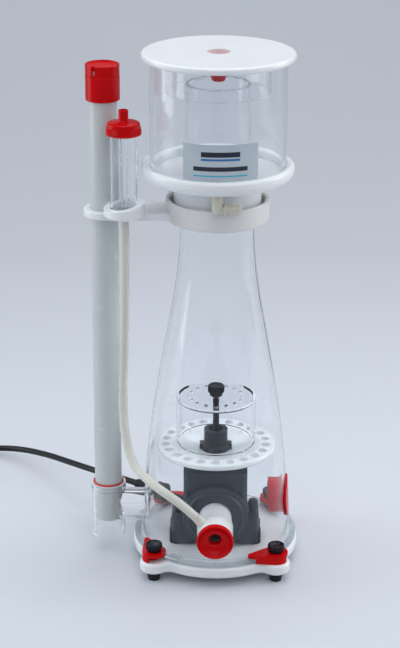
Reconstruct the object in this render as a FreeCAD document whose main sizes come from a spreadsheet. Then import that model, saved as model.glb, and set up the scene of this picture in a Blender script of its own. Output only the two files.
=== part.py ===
import FreeCAD, Part
import math
import operator
import os
from types import SimpleNamespace

import Sketcher
from FreeCAD import Placement, Rotation, Vector

# Protein skimmer for an aquarium sump, in millimetres, +Z up.
# The origin is on the floor below the middle of the object's outline. The reactor body's own
# axis stands at (axis_x, axis_y), and every shape below is drawn about that axis.

DIMENSIONS = {
    # body axis, seen from the origin
    "axis_x": 20.75,
    "axis_y": 5.35,
    # base plate and feet
    "foot_height": 8.0,
    "foot_top_radius": 7.0,
    "foot_sole_radius": 5.3,
    "foot_pin_radius": 2.5,
    "foot_pin_length": 4.0,
    "foot_y": 60.0,
    "base_radius": 76.3,
    "base_thickness": 10.5,
    "base_edge": 3.0,
    "lobe_radius": 13.0,
    "lobe_blend": 9.0,
    # clips that hold the body on the base
    "clip_x": 55.5,
    "clip_y": 57.0,
    "clip_radius": 10.8,
    "clip_tip_radius": 2.0,
    "clip_reach": 24.5,
    "clip_height": 8.2,
    "clip_roof": 3.4,
    "stud_radius": 2.5,
    "stud_depth": 6.0,
    "stud_height": 13.4,
    "knob_radius": 7.6,
    "knob_neck_radius": 6.6,
    "knob_height": 7.2,
    "gap": 0.3,
    "pin_clearance": 0.05,
    # reactor body
    "gasket_thickness": 0.8,
    "gasket_width": 6.0,
    "flange_radius": 75.3,
    "flange_thickness": 4.0,
    "body_radius": 67.6,
    "body_wall": 3.0,
    "shoulder_low": 27.0,
    "shoulder_mid_radius": 62.6,
    "shoulder_mid": 106.0,
    "shoulder_top_radius": 51.3,
    "shoulder_top": 185.0,
    "waist_radius": 42.3,
    "waist": 236.0,
    "throat_mid_radius": 36.4,
    "throat_mid": 272.0,
    "throat": 308.0,
    "neck_radius": 32.9,
    "neck_top": 347.3,
    # collar and pipe bracket
    "collar_radius": 45.6,
    "collar_wall": 3.4,
    "collar_low": 326.0,
    "collar_floor": 4.0,
    "collar_top": 345.8,
    "collar_edge": 3.6,
    "bracket_low": 328.5,
    "bracket_thickness": 7.0,
    "bracket_half_width": 18.3,
    "bracket_edge": 1.5,
    # riser pipe and outlet
    "riser_x": -99.5,
    "riser_radius": 12.5,
    "riser_bore": 10.2,
    "riser_low": 34.0,
    "riser_top": 459.0,
    "riser_port_radius": 7.5,
    "riser_cap_radius": 15.0,
    "riser_cap_low": 432.5,
    "riser_cap_seam": 454.5,
    "riser_cap_top": 464.0,
    "outlet_height": 46.0,
    "outlet_radius": 15.2,
    "outlet_bore": 12.0,
    "outlet_low": 16.5,
    "outlet_top": 69.0,
    "outlet_rim": 16.0,
    "outlet_rim_height": 5.5,
    "outlet_inner_x": -60.0,
    "oring_section": 0.8,
    # spare opening on the right and its plug
    "plug_height": 56.7,
    "plug_sleeve_radius": 16.5,
    "plug_sleeve_bore": 13.5,
    "plug_flange_radius": 19.6,
    "plug_flange_thickness": 1.6,
    "plug_inner_x": 49.0,
    # pump, along the front to back line at pump_height
    "pump_height": 50.5,
    "volute_radius": 30.0,
    "volute_front": 33.0,
    "volute_back": 14.0,
    "volute_half_width": 29.0,
    "volute_top": 92.0,
    "chamber_radius": 25.0,
    "chamber_back": 10.0,
    "duct_radius": 9.2,
    "nozzle_radius": 12.0,
    "cover_thickness": 3.5,
    "motor_radius": 22.0,
    "motor_back": 54.0,
    "well_radius": 12.8,
    "well_bore": 11.3,
    "well_back": 46.0,
    "magnet_radius": 10.5,
    "shaft_radius": 1.5,
    "impeller_radius": 22.0,
    "leg_inner": 17.0,
    "leg_outer": 40.0,
    "leg_front": -29.0,
    "leg_back": 6.0,
    "leg_top": 46.0,
    "bushing_height": 13.5,
    "bushing_radius": 6.0,
    # intake
    "sleeve_radius": 14.9,
    "sleeve_bore": 12.2,
    "intake_radius": 16.2,
    "intake_bore": 13.4,
    "intake_back": 57.0,
    "intake_front": 82.0,
    "nozzle_front": 87.0,
    "nozzle_hole": 5.3,
    "barb_y": -70.5,
    "barb_radius": 3.9,
    "barb_bore": 2.0,
    "barb_reach": 19.5,
    # bubble plate, union and diffuser
    "plate_radius": 54.0,
    "plate_top": 110.8,
    "plate_thickness": 5.3,
    "plate_dish": 6.5,
    "plate_dish_radius": 41.3,
    "plate_hole_radius": 4.2,
    "plate_hole_circle": 46.0,
    "union_radius": 10.8,
    "union_bore": 7.0,
    "union_flange_radius": 13.4,
    "union_top": 124.0,
    "diffuser_radius": 36.2,
    "diffuser_wall": 2.5,
    "diffuser_low": 112.5,
    "diffuser_top": 156.5,
    "screw_radius": 2.85,
    "screw_knob_radius": 7.6,
    "screw_top": 167.0,
    # collection cup
    "cup_radius": 59.5,
    "cup_wall": 3.0,
    "cup_floor_low": 364.0,
    "cup_floor_top": 370.0,
    "cup_dish_radius": 66.9,
    "cup_lip_top": 377.3,
    "cup_top": 468.7,
    "cup_neck_radius": 28.5,
    "cup_neck_wall": 2.5,
    "cup_neck_top": 448.0,
    "neck_ring_radius": 38.5,
    "neck_ring_low": 334.0,
    "label_low": 377.0,
    "label_top": 409.0,
    "label_angle": 64.0,
    "lid_radius": 66.6,
    "lid_low": 469.0,
    "lid_top": 475.0,
    "lid_edge": 2.4,
    "lid_hole": 10.0,
    "lid_boss": 3.0,
    "lid_ring_radius": 45.5,
    "lid_ring_low": 441.0,
    "drain_y": -50.0,
    "drain_height": 350.0,
    "drain_radius": 4.9,
    "drain_barb_radius": 3.8,
    "drain_barb_end": 20.3,
    # air silencer
    "silencer_x": -80.5,
    "silencer_y": -25.5,
    "silencer_radius": 12.4,
    "silencer_wall": 1.9,
    "silencer_top": 411.0,
    "holder_radius": 18.0,
    "holder_low": 335.5,
    "holder_mean_top": 346.0,
    "silencer_cap_radius": 15.4,
    "silencer_cap_low": 408.6,
    "silencer_cap_top": 419.5,
    "nipple_radius": 4.3,
    "nipple_top": 430.0,
    "downtube_radius": 3.4,
    "downtube_bore": 2.4,
    "downtube_low": 345.0,
    # lead and hose
    "lead_radius": 3.0,
    "lead_height": 40.0,
    "gland_inner": 60.0,
    "gland_end": 94.0,
    "hose_radius": 4.0,
    "coil_radius": 33.0,
    "coil_low": 1.0,
    "coil_height": 11.6,
    "plug_height_off_floor": 0.2,
}

CORNERS = {"front_left": (-1, -1), "front_right": (1, -1), "rear_right": (1, 1), "rear_left": (-1, 1)}
CLIP_TURN = 62.0  # a clip's arm, turned from the line that points at the body's axis
SKIRT_TURN = -21.2  # the skirt's inner side, turned from the arm
LEAD_ANGLE = 144.0  # the lead leaves the body at the back left
PLATE_HOLES = 22

UPRIGHT = Rotation()
FORWARD = Rotation(Vector(1, 0, 0), 90)  # local Z points to -Y
BACKWARD = Rotation(Vector(1, 0, 0), -90)  # local Z points to +Y
RIGHTWARD = Rotation(Vector(0, 1, 0), 90)  # local Z points to +X
RADIAL = Rotation(Vector(0, 0, 1), LEAD_ANGLE).multiply(RIGHTWARD)
BARB_TILT = Rotation(Vector(0, 1, 0), -45)  # local Z points up and to the left

# Routes of the hose and the lead, seen from the body's axis.
HOSE_ROUTE = [
    (-80.5, -25.5, 331.5),
    (-80.6, -25.3, 290.0),
    (-81.1, -22.0, 245.0),
    (-82.7, -16.0, 201.0),
    (-84.4, -15.0, 160.0),
    (-82.9, -22.0, 128.0),
    (-75.5, -36.5, 103.5),
    (-60.0, -55.0, 95.5),
    (-46.0, -66.2, 90.2),
    (-28.6, -70.5, 79.1),
    (-13.8, -70.5, 64.3),
]
LEAD_ROUTE = [
    (-76.05, 55.25, 40.0),
    (-96.0, 69.6, 39.6),
    (-120.5, 89.5, 37.0),
    (-147.0, 123.5, 29.5),
    (-174.0, 162.0, 19.8),
    (-206.0, 195.0, 10.5),
    (-238.0, 206.0, 5.6),
    (-269.0, 207.5, 4.3),
    (-298.0, 204.1, 4.1),
]
TAIL_ROUTE = [
    (-333.6, 162.0, 9.4),
    (-334.6, 142.0, 9.1),
    (-335.0, 122.0, 8.4),
]
COIL_CENTRE = (-294.5, 162.0)
PLUG_START = (-335.0, 122.0)


class Size:
    """A length that knows its value and the sheet expression that drives it."""

    def __init__(self, value, text=None):
        self.value = float(value)
        self.text = text or repr(float(value))
        self.driven = text is not None

    def join(self, sign, action, other, swap=False):
        other = as_size(other)
        left, right = (other, self) if swap else (self, other)
        driven = self.driven or other.driven
        text = f"({left.text} {sign} {right.text})" if driven else None
        return Size(action(left.value, right.value), text)

    def __add__(self, other):
        return self.join("+", operator.add, other)

    def __radd__(self, other):
        return self.join("+", operator.add, other, swap=True)

    def __sub__(self, other):
        return self.join("-", operator.sub, other)

    def __rsub__(self, other):
        return self.join("-", operator.sub, other, swap=True)

    def __mul__(self, other):
        return self.join("*", operator.mul, other)

    def __rmul__(self, other):
        return self.join("*", operator.mul, other, swap=True)

    def __truediv__(self, other):
        return self.join("/", operator.truediv, other)

    def __neg__(self):
        return self * -1.0


def as_size(length):
    return length if isinstance(length, Size) else Size(length)


def make_sheet():
    """Puts the driving dimensions in a spreadsheet and returns them as sizes."""
    sheet = doc.addObject("Spreadsheet::Sheet", "Params")
    sizes = {}
    for row, (alias, length) in enumerate(DIMENSIONS.items(), start=1):
        sheet.set(f"A{row}", alias)
        sheet.set(f"B{row}", str(length))
        sheet.setAlias(f"B{row}", alias)
        sizes[alias] = Size(length, f"Params.{alias}")
    doc.recompute()
    return SimpleNamespace(**sizes)


def bind(obj, path, length):
    """Gives a property its length, by expression where the sheet drives it."""
    length = as_size(length)
    if length.driven:
        obj.setExpression(path, length.text)
    elif "." not in path:
        setattr(obj, path, length.value)


def place(obj, at, turn=UPRIGHT):
    at = [as_size(length) for length in at]
    obj.Placement = Placement(Vector(*[length.value for length in at]), turn)
    for letter, length in zip("xyz", at):
        bind(obj, f"Placement.Base.{letter}", length)
    return obj


def node(label, obj, at=(0, 0, 0), turn=UPRIGHT):
    """Finishes a sub-part: names it and moves it from the body's axis to the origin's frame."""
    x, y, z = at
    place(obj, (sheet.axis_x + x, sheet.axis_y + y, z), turn)
    obj.Label = label
    nodes.append(obj)
    return obj


# Outlines, turned bodies and solids


def origin_plane(body, role):
    return next(item for item in body.Origin.OriginFeatures if item.Role == role)


def fix_point(sketch, geometry, end, corner, name):
    """Ties one point of a sketch to its two sizes."""
    rules = (("DistanceX", -2, "across"), ("DistanceY", -1, "up"))
    for length, (kind, axis, word) in zip(corner, rules):
        length = as_size(length)
        if length.value == 0:
            sketch.addConstraint(Sketcher.Constraint("PointOnObject", geometry, end, axis))
            continue
        index = sketch.addConstraint(Sketcher.Constraint(kind, -1, 1, geometry, end, length.value))
        if length.driven:
            sketch.renameConstraint(index, f"{name}_{word}")
            sketch.setExpression(f"Constraints.{name}_{word}", length.text)


def flat(corner):
    return Vector(as_size(corner[0]).value, as_size(corner[1]).value, 0)


def draw_outline(sketch, outline):
    """Draws a closed outline. Each entry is a corner (a, b), or (a, b, middle_a, middle_b) for a
    corner reached from the one before by an arc through the middle point. An outline that ends
    with an arc repeats its first corner at the end."""
    pieces = []
    closed = (flat(outline[0]) - flat(outline[-1])).Length < 1e-6
    for index, corner in enumerate(outline):
        if closed and index == 0:
            continue
        before = outline[index - 1]
        if len(corner) == 2:
            line = Part.LineSegment(flat(before), flat(corner))
            pieces.append((sketch.addGeometry(line), 1, 2, corner))
            continue
        start, middle, end = flat(before), flat(corner[2:]), flat(corner)
        leftward = (middle - start).cross(end - middle).z > 0
        ends = (1, 2) if leftward else (2, 1)
        arc = Part.Arc(start, middle, end) if leftward else Part.Arc(end, middle, start)
        geometry = sketch.addGeometry(arc)
        pieces.append((geometry, *ends, corner))
        point = sketch.addGeometry(Part.Point(middle), True)
        fix_point(sketch, point, 1, corner[2:], f"middle_{index}")
        sketch.addConstraint(Sketcher.Constraint("PointOnObject", point, 1, geometry))
    for index, (geometry, _, end, corner) in enumerate(pieces):
        following = pieces[(index + 1) % len(pieces)]
        joint = Sketcher.Constraint("Coincident", geometry, end, following[0], following[1])
        sketch.addConstraint(joint)
        fix_point(sketch, geometry, end, corner[:2], f"corner_{index}")


def new_sketch(body, name, role):
    sketch = body.newObject("Sketcher::SketchObject", name)
    sketch.AttachmentSupport = (origin_plane(body, role), [""])
    sketch.MapMode = "FlatFace"
    return sketch


def turned(name, outline, rims=()):
    """A body turned about its own Z from (radius, height) corners. rims are (radius, height,
    rounding) of the circular edges that are rounded."""
    body = doc.addObject("PartDesign::Body", f"{name}_turned")
    sketch = new_sketch(body, f"{name}_outline", "XZ_Plane")
    draw_outline(sketch, outline)
    turn = body.newObject("PartDesign::Revolution", f"{name}_turn")
    turn.Profile = sketch
    turn.ReferenceAxis = (sketch, ["V_Axis"])
    turn.Angle = 360
    sketch.Visibility = False
    for count, (radius, height, rounding) in enumerate(rims):
        doc.recompute()
        before = body.Tip
        edge = rim_name(before.Shape, as_size(radius).value, as_size(height).value)
        fillet = body.newObject("PartDesign::Fillet", f"{name}_rim_{count}")
        fillet.Base = (before, [edge])
        bind(fillet, "Radius", rounding)
        body.Tip = fillet
    return body


def rim_name(shape, radius, height):
    for index, edge in enumerate(shape.Edges, start=1):
        circle = edge.Curve
        round_one = isinstance(circle, Part.Circle) and abs(circle.Radius - radius) < 0.01
        if round_one and abs(circle.Center.z - height) < 0.01:
            return f"Edge{index}"
    raise ValueError(f"no rim of radius {radius} at height {height}")


def add_hole_ring(body, name, hole_radius, circle_radius, count):
    """Cuts a ring of equal holes through a turned body."""
    sketch = new_sketch(body, f"{name}_hole", "XY_Plane")
    hole = Part.Circle(Vector(0, -circle_radius.value, 0), Vector(0, 0, 1), hole_radius.value)
    circle = sketch.addGeometry(hole)
    fix_point(sketch, circle, 3, (0, -circle_radius), "centre")
    index = sketch.addConstraint(Sketcher.Constraint("Radius", circle, hole_radius.value))
    sketch.renameConstraint(index, "hole_radius")
    sketch.setExpression("Constraints.hole_radius", hole_radius.text)
    pocket = body.newObject("PartDesign::Pocket", f"{name}_pocket")
    pocket.Profile = sketch
    pocket.Type = "ThroughAll"
    pocket.Midplane = True
    pattern = body.newObject("PartDesign::PolarPattern", f"{name}_ring")
    pattern.Originals = [pocket]
    pattern.Axis = (origin_plane(body, "Z_Axis"), [""])
    pattern.Angle = 360
    pattern.Occurrences = count
    body.Tip = pattern
    return body


def cylinder(name, radius, length, at=(0, 0, 0), turn=UPRIGHT, angle=360.0):
    obj = doc.addObject("Part::Cylinder", name)
    bind(obj, "Radius", radius)
    bind(obj, "Height", length)
    bind(obj, "Angle", angle)
    return place(obj, at, turn)


def box(name, low, high, turn=UPRIGHT):
    """A box between two corners."""
    obj = doc.addObject("Part::Box", name)
    spans = [as_size(top) - bottom for bottom, top in zip(low, high)]
    for side, span in zip(("Length", "Width", "Height"), spans):
        bind(obj, side, span)
    return place(obj, low, turn)


def torus(name, ring_radius, section_radius, at=(0, 0, 0), turn=UPRIGHT):
    obj = doc.addObject("Part::Torus", name)
    bind(obj, "Radius1", ring_radius)
    bind(obj, "Radius2", section_radius)
    return place(obj, at, turn)


def fuse(name, *parts):
    obj = doc.addObject("Part::MultiFuse", name)
    obj.Shapes = list(parts)
    obj.Refine = True
    return obj


def group(name, *parts):
    """Separate solids in one sub-part."""
    obj = doc.addObject("Part::Compound", name)
    obj.Links = list(parts)
    return obj


def cut(name, base, *tools):
    obj = doc.addObject("Part::Cut", name)
    obj.Base = base
    obj.Tool = tools[0] if len(tools) == 1 else fuse(f"{name}_tools", *tools)
    return obj


def common(name, first, second):
    obj = doc.addObject("Part::Common", name)
    obj.Base = first
    obj.Tool = second
    return obj


def extruded(name, outline, low, high):
    """A plate with the given outline in X and Y."""
    sketch = doc.addObject("Sketcher::SketchObject", f"{name}_outline")
    draw_outline(sketch, outline)
    plate = doc.addObject("Part::Extrusion", name)
    plate.Base = sketch
    plate.DirMode = "Custom"
    plate.Dir = Vector(0, 0, 1)
    plate.Solid = True
    bind(plate, "LengthFwd", as_size(high) - low)
    return place(plate, (0, 0, low))


def filleted(name, base, rounding, wanted):
    """Rounds the edges of a finished solid for which wanted(edge) holds."""
    doc.recompute()
    radius = as_size(rounding).value
    chosen = [i for i, edge in enumerate(base.Shape.Edges, start=1) if wanted(edge)]
    obj = doc.addObject("Part::Fillet", name)
    obj.Base = base
    obj.Edges = [(index, radius, radius) for index in chosen]
    return obj


def is_upright(edge):
    if not isinstance(edge.Curve, Part.Line):
        return False
    return abs(edge.tangentAt(edge.FirstParameter).z) > 0.999


def is_level_at(edge, height):
    box_of = edge.BoundBox
    return abs(box_of.ZMin - height) < 0.01 and abs(box_of.ZMax - height) < 0.01


# Cords: straight runs joined by tangent arcs


def cord_path(name, route):
    """The path of a cord: each corner is rounded as far as its two runs allow."""
    points = [Vector(*point) for point in route]
    edges = []
    radii = []
    start = points[0]
    for before, corner, after in zip(points, points[1:], points[2:]):
        back = (before - corner).normalize()
        ahead = (after - corner).normalize()
        half_turn = (math.pi - back.getAngle(ahead)) / 2
        tangent = 0.45 * min(before.distanceToPoint(corner), corner.distanceToPoint(after))
        radius = tangent / math.tan(half_turn)
        inward = (back + ahead).normalize()
        middle = corner + inward * (radius / math.cos(half_turn) - radius)
        arc_start = corner + back * tangent
        arc_end = corner + ahead * tangent
        edges.append(Part.LineSegment(start, arc_start).toShape())
        edges.append(Part.Arc(arc_start, middle, arc_end).toShape())
        start = arc_end
        radii.append(round(radius, 1))
    edges.append(Part.LineSegment(start, points[-1]).toShape())
    print(name, "bend radii", radii)
    return Part.Wire(edges)


def cord_tube(name, route, radius):
    """A round solid along a cord's path."""
    path = cord_path(name, route)
    start = Vector(*route[0])
    direction = Vector(*route[1]) - start
    section = Part.Wire([Part.makeCircle(radius, start, direction)])
    solid = path.makePipeShell([section], True, False)
    expected = math.pi * radius**2 * path.Length
    print(name, f"length {path.Length:.1f}, volume {solid.Volume / expected:.4f} of expected")
    return solid


def feature(name, *shapes):
    obj = doc.addObject("Part::Feature", name)
    obj.Shape = shapes[0] if len(shapes) == 1 else Part.makeCompound(list(shapes))
    return obj


# Base


def base_top():
    return sheet.foot_height + sheet.base_thickness


def at_corners(make):
    """The four solids that make(word, x, y) gives at the base's corners."""
    return [make(word, *signs) for word, signs in CORNERS.items()]


def base_plate():
    top = base_top()
    disc = cylinder("base_disc", sheet.base_radius, sheet.base_thickness, (0, 0, sheet.foot_height))

    def lobe(word, x, y):
        spot = (sheet.clip_x * x, sheet.clip_y * y, sheet.foot_height)
        return cylinder(f"base_lobe_{word}", sheet.lobe_radius, sheet.base_thickness, spot)

    def stud_hole(word, x, y):
        spot = (sheet.clip_x * x, sheet.clip_y * y, top - sheet.stud_depth)
        return cylinder(f"stud_hole_{word}", sheet.stud_radius, sheet.stud_depth, spot)

    def foot_hole(word, x, y):
        spot = (sheet.clip_x * x, sheet.foot_y * y, sheet.foot_height)
        return cylinder(f"foot_hole_{word}", sheet.foot_pin_radius, sheet.foot_pin_length, spot)

    outline = fuse("base_outline", disc, *at_corners(lobe))
    blended = filleted("base_blend", outline, sheet.lobe_blend, is_upright)
    levels = (sheet.foot_height.value, top.value)

    def rim(edge):
        return any(is_level_at(edge, level) for level in levels)

    rounded = filleted("base_rounded", blended, sheet.base_edge, rim)
    holes = at_corners(stud_hole) + at_corners(foot_hole)
    node("base_plate", cut("base_drilled", rounded, *holes))


def rubber_feet():
    def foot(word, x, y):
        outline = [
            (0, 0),
            (sheet.foot_sole_radius, 0),
            (sheet.foot_top_radius, sheet.foot_height),
            (sheet.foot_pin_radius, sheet.foot_height),
            (sheet.foot_pin_radius, sheet.foot_height + sheet.foot_pin_length),
            (0, sheet.foot_height + sheet.foot_pin_length),
        ]
        body = turned(f"foot_{word}", outline)
        return place(body, (sheet.clip_x * x, sheet.foot_y * y, 0))

    node("rubber_feet", group("feet", *at_corners(foot)))


def base_gasket():
    inner = sheet.flange_radius - sheet.gasket_width
    top = base_top() + sheet.gasket_thickness
    outline = [
        (inner, base_top()),
        (sheet.flange_radius - 0.6, base_top()),
        (sheet.flange_radius - 0.6, top),
        (inner, top),
    ]
    node("base_gasket", turned("gasket", outline))


# Clips


def clip_studs():
    def stud(word, x, y):
        spot = (sheet.clip_x * x, sheet.clip_y * y, base_top() - sheet.stud_depth)
        length = sheet.stud_depth + sheet.stud_height
        return cylinder(f"stud_{word}", sheet.stud_radius, length, spot)

    node("clip_studs", group("studs", *at_corners(stud)))


def clip_outline():
    """A hook seen from above: a round head and an arm that narrows to its tip along +X."""
    reach = sheet.clip_reach
    head = sheet.clip_radius
    tip = sheet.clip_tip_radius
    lean = (head.value - tip.value) / reach.value
    rise = math.sqrt(1 - lean**2)
    return [
        (head * lean, head * -rise),
        (reach + tip * lean, tip * -rise),
        (reach + tip * lean, tip * rise, reach + tip, 0),
        (head * lean, head * rise),
        (head * lean, head * -rise, -head, 0),
    ]


def inward_angle(x, y):
    """Direction in degrees from a corner's stud to the body's axis."""
    return math.degrees(math.atan2(-y * sheet.clip_y.value, -x * sheet.clip_x.value))


def clip(word, x, y):
    """A clip's roof reaches over the body's flange. Its skirt stands on the base beside it."""
    roof_low = sheet.clip_height - sheet.clip_roof
    roof = extruded(f"clip_roof_{word}", clip_outline(), roof_low, sheet.clip_height)
    skirt_top = sheet.clip_height - 0.5 * sheet.clip_roof
    skirt = extruded(f"clip_skirt_{word}", clip_outline(), 0, skirt_top)
    distance = math.hypot(sheet.clip_x.value, sheet.clip_y.value)
    toward = math.radians(-CLIP_TURN)
    depth = 40
    spot = (distance * math.cos(toward), distance * math.sin(toward), roof_low - depth)
    flange_space = cylinder(f"clip_flange_space_{word}", sheet.flange_radius + 0.7, depth, spot)
    side_space = box(f"clip_side_space_{word}", (-60, -60, roof_low - depth), (60, 4, roof_low))
    spin = Placement(Vector(), Rotation(Vector(0, 0, 1), SKIRT_TURN))
    side_space.Placement = spin.multiply(side_space.Placement)
    trimmed = cut(f"clip_trimmed_{word}", skirt, flange_space, side_space)
    hub = cylinder(f"clip_hub_{word}", 3.4, sheet.clip_height)
    whole = fuse(f"clip_whole_{word}", roof, trimmed, hub)
    hole_radius = sheet.stud_radius + sheet.pin_clearance
    hole = cylinder(f"clip_hole_{word}", hole_radius, sheet.clip_height + 2, (0, 0, -1))
    turn = Rotation(Vector(0, 0, 1), inward_angle(x, y) + CLIP_TURN)
    spot = (sheet.clip_x * x, sheet.clip_y * y, base_top() + sheet.gap)
    node(f"cam_clip_{word}", cut(f"clip_drilled_{word}", whole, hole), spot, turn)


def knob(word, x, y):
    hole = sheet.stud_radius + sheet.pin_clearance
    top = sheet.knob_height
    outline = [
        (hole, 0),
        (sheet.knob_neck_radius, 0),
        (sheet.knob_neck_radius, top * 0.36),
        (sheet.knob_radius, top * 0.5),
        (sheet.knob_radius, top),
        (sheet.knob_radius - 1.4, top),
        (sheet.knob_radius - 2.6, top - 1.2),
        (0, top - 1.2),
        (0, top - 2.2),
        (hole, top - 2.2),
    ]
    low = base_top() + sheet.clip_height + 2 * sheet.gap
    body = turned(f"knob_{word}", outline, [(sheet.knob_radius, top, 0.8)])
    node(f"clip_knob_{word}", body, (sheet.clip_x * x, sheet.clip_y * y, low))


# Reactor body


def outer_profile(offset=0.0):
    """The bell's outer line from the flange up, moved outward by offset."""
    return [
        (sheet.body_radius + offset, sheet.shoulder_low),
        (
            sheet.shoulder_top_radius + offset,
            sheet.shoulder_top,
            sheet.shoulder_mid_radius + offset,
            sheet.shoulder_mid,
        ),
        (sheet.waist_radius + offset, sheet.waist),
        (
            sheet.neck_radius + offset,
            sheet.throat,
            sheet.throat_mid_radius + offset,
            sheet.throat_mid,
        ),
        (sheet.neck_radius + offset, sheet.neck_top),
    ]


def bell_form(name, offset):
    """The bell as a full solid, to trim what must follow its wall."""
    outline = [(0, sheet.foot_height), (sheet.body_radius + offset, sheet.foot_height)]
    outline += outer_profile(offset)
    outline.append((0, sheet.neck_top))
    return turned(name, outline)


def shell_low():
    return base_top() + sheet.gasket_thickness


def body_shell():
    wall = sheet.body_wall
    outer = outer_profile()
    inner = [
        (sheet.neck_radius - wall, sheet.neck_top),
        (sheet.neck_radius - wall, sheet.throat),
        (
            sheet.waist_radius - wall,
            sheet.waist,
            sheet.throat_mid_radius - wall,
            sheet.throat_mid,
        ),
        (sheet.shoulder_top_radius - wall, sheet.shoulder_top),
        (
            sheet.body_radius - wall,
            sheet.shoulder_low,
            sheet.shoulder_mid_radius - wall,
            sheet.shoulder_mid,
        ),
        (sheet.body_radius - wall, shell_low()),
    ]
    bell = turned("bell", [(sheet.body_radius, shell_low())] + outer + inner)
    top = shell_low() + sheet.flange_thickness
    flange = [
        (sheet.body_radius - 1, shell_low()),
        (sheet.flange_radius, shell_low()),
        (sheet.flange_radius, top),
        (sheet.body_radius - 1, top),
    ]
    bell = fuse("bell_flanged", bell, turned("flange", flange, [(sheet.flange_radius, top, 0.8)]))
    intake = cylinder("intake_opening", sheet.intake_radius, 60, (0, -30, sheet.pump_height), FORWARD)
    outlet = cylinder("outlet_opening", sheet.outlet_radius, 60, (-100, 0, sheet.outlet_height), RIGHTWARD)
    spare = cylinder("spare_opening", sheet.plug_sleeve_radius, 60, (30, 0, sheet.plug_height), RIGHTWARD)
    lead = cylinder("lead_opening", 6.0, 100, (0, 0, sheet.lead_height), RADIAL)
    node("body_shell", cut("bell_drilled", bell, intake, outlet, spare, lead))


def neck_collar():
    floor_top = sheet.collar_low + sheet.collar_floor
    inner = sheet.collar_radius - sheet.collar_wall
    outline = [
        (sheet.neck_radius, sheet.collar_low),
        (sheet.collar_radius, sheet.collar_low),
        (sheet.collar_radius, sheet.collar_top),
        (inner, sheet.collar_top),
        (inner, floor_top),
        (sheet.neck_radius, floor_top),
    ]
    rims = [
        (sheet.collar_radius, sheet.collar_low, sheet.collar_edge),
        (sheet.collar_radius, sheet.collar_top, 1.2),
        (inner, sheet.collar_top, 1.2),
    ]
    node("neck_collar", turned("collar", outline, rims))


def side_plug():
    """A sleeve through the wall and a thin flange that follows the bell's outside."""
    height = sheet.plug_height
    start = (sheet.plug_inner_x, 0, height)
    length = sheet.body_radius + 1 - sheet.plug_inner_x
    rod = cylinder("plug_rod", sheet.plug_sleeve_radius, length, start, RIGHTWARD)
    sleeve = common("plug_sleeve", rod, bell_form("plug_end", 0.8))
    depth = length - sheet.body_wall - 2.5
    bore = cylinder("plug_bore", sheet.plug_sleeve_bore, depth, start, RIGHTWARD)
    disc = cylinder("plug_disc", sheet.plug_flange_radius, 40, (50, 0, height), RIGHTWARD)
    around = cut(
        "plug_skin",
        bell_form("plug_skin_outer", sheet.plug_flange_thickness),
        bell_form("plug_skin_inner", 0.0),
    )
    flange = common("plug_flange", disc, around)
    node("side_plug", fuse("plug_whole", cut("plug_hollow", sleeve, bore), flange))


def cable_gland():
    """Tapered gland moulded round the lead, with the lead's stretch inside the body."""
    outline = [
        (0, sheet.gland_inner),
        (9, sheet.gland_inner),
        (9, sheet.gland_inner + 3.4),
        (6, sheet.gland_inner + 3.4),
        (6, sheet.body_radius),
        (8.5, sheet.body_radius),
        (8.5, sheet.body_radius + 4.4),
        (6.0, sheet.body_radius + 4.4),
        (sheet.lead_radius + 0.9, sheet.gland_end),
        (0, sheet.gland_end),
    ]
    start = sheet.motor_radius - 2
    lead = cylinder("inner_lead", sheet.lead_radius, sheet.gland_inner - start + 1, (0, 0, start))
    whole = fuse("gland_whole", turned("gland", outline), lead)
    place(whole, (0, 0, sheet.lead_height), RADIAL)
    can = cylinder("lead_can_space", sheet.motor_radius, 60, (0, 0, sheet.pump_height), BACKWARD)
    volute_space = cylinder(
        "lead_volute_space", sheet.volute_radius, 40, (0, sheet.volute_back, sheet.pump_height), FORWARD
    )
    node("cable_gland", cut("gland_trimmed", whole, can, volute_space))


# Pump


def pump_volute():
    """Round chamber with a square throat that rises to the outlet nozzle."""
    height = sheet.pump_height
    depth = sheet.volute_front + sheet.volute_back
    barrel = cylinder("volute_barrel", sheet.volute_radius, depth, (0, sheet.volute_back, height), FORWARD)
    half = sheet.volute_half_width
    throat = box(
        "volute_throat",
        (-half, -sheet.volute_front + 3, height),
        (half, sheet.volute_back - 2, sheet.volute_top),
    )
    throat = filleted("volute_corners", throat, 5.0, is_upright)
    plate_low = sheet.plate_top - sheet.plate_dish - sheet.plate_thickness
    nozzle = cylinder("volute_nozzle", sheet.nozzle_radius, plate_low - height, (0, 0, height))
    body = fuse("volute_body", barrel, throat, nozzle)
    chamber_depth = sheet.volute_front + sheet.chamber_back
    chamber = cylinder(
        "volute_chamber", sheet.chamber_radius, chamber_depth, (0, sheet.chamber_back, height), FORWARD
    )
    duct = cylinder("volute_duct", sheet.duct_radius, plate_low - height, (0, 0, height))
    shaft_way = cylinder("volute_shaft_way", sheet.well_bore, 30, (0, 20, height), FORWARD)
    node("pump_volute", cut("volute_hollow", body, chamber, duct, shaft_way))


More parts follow.
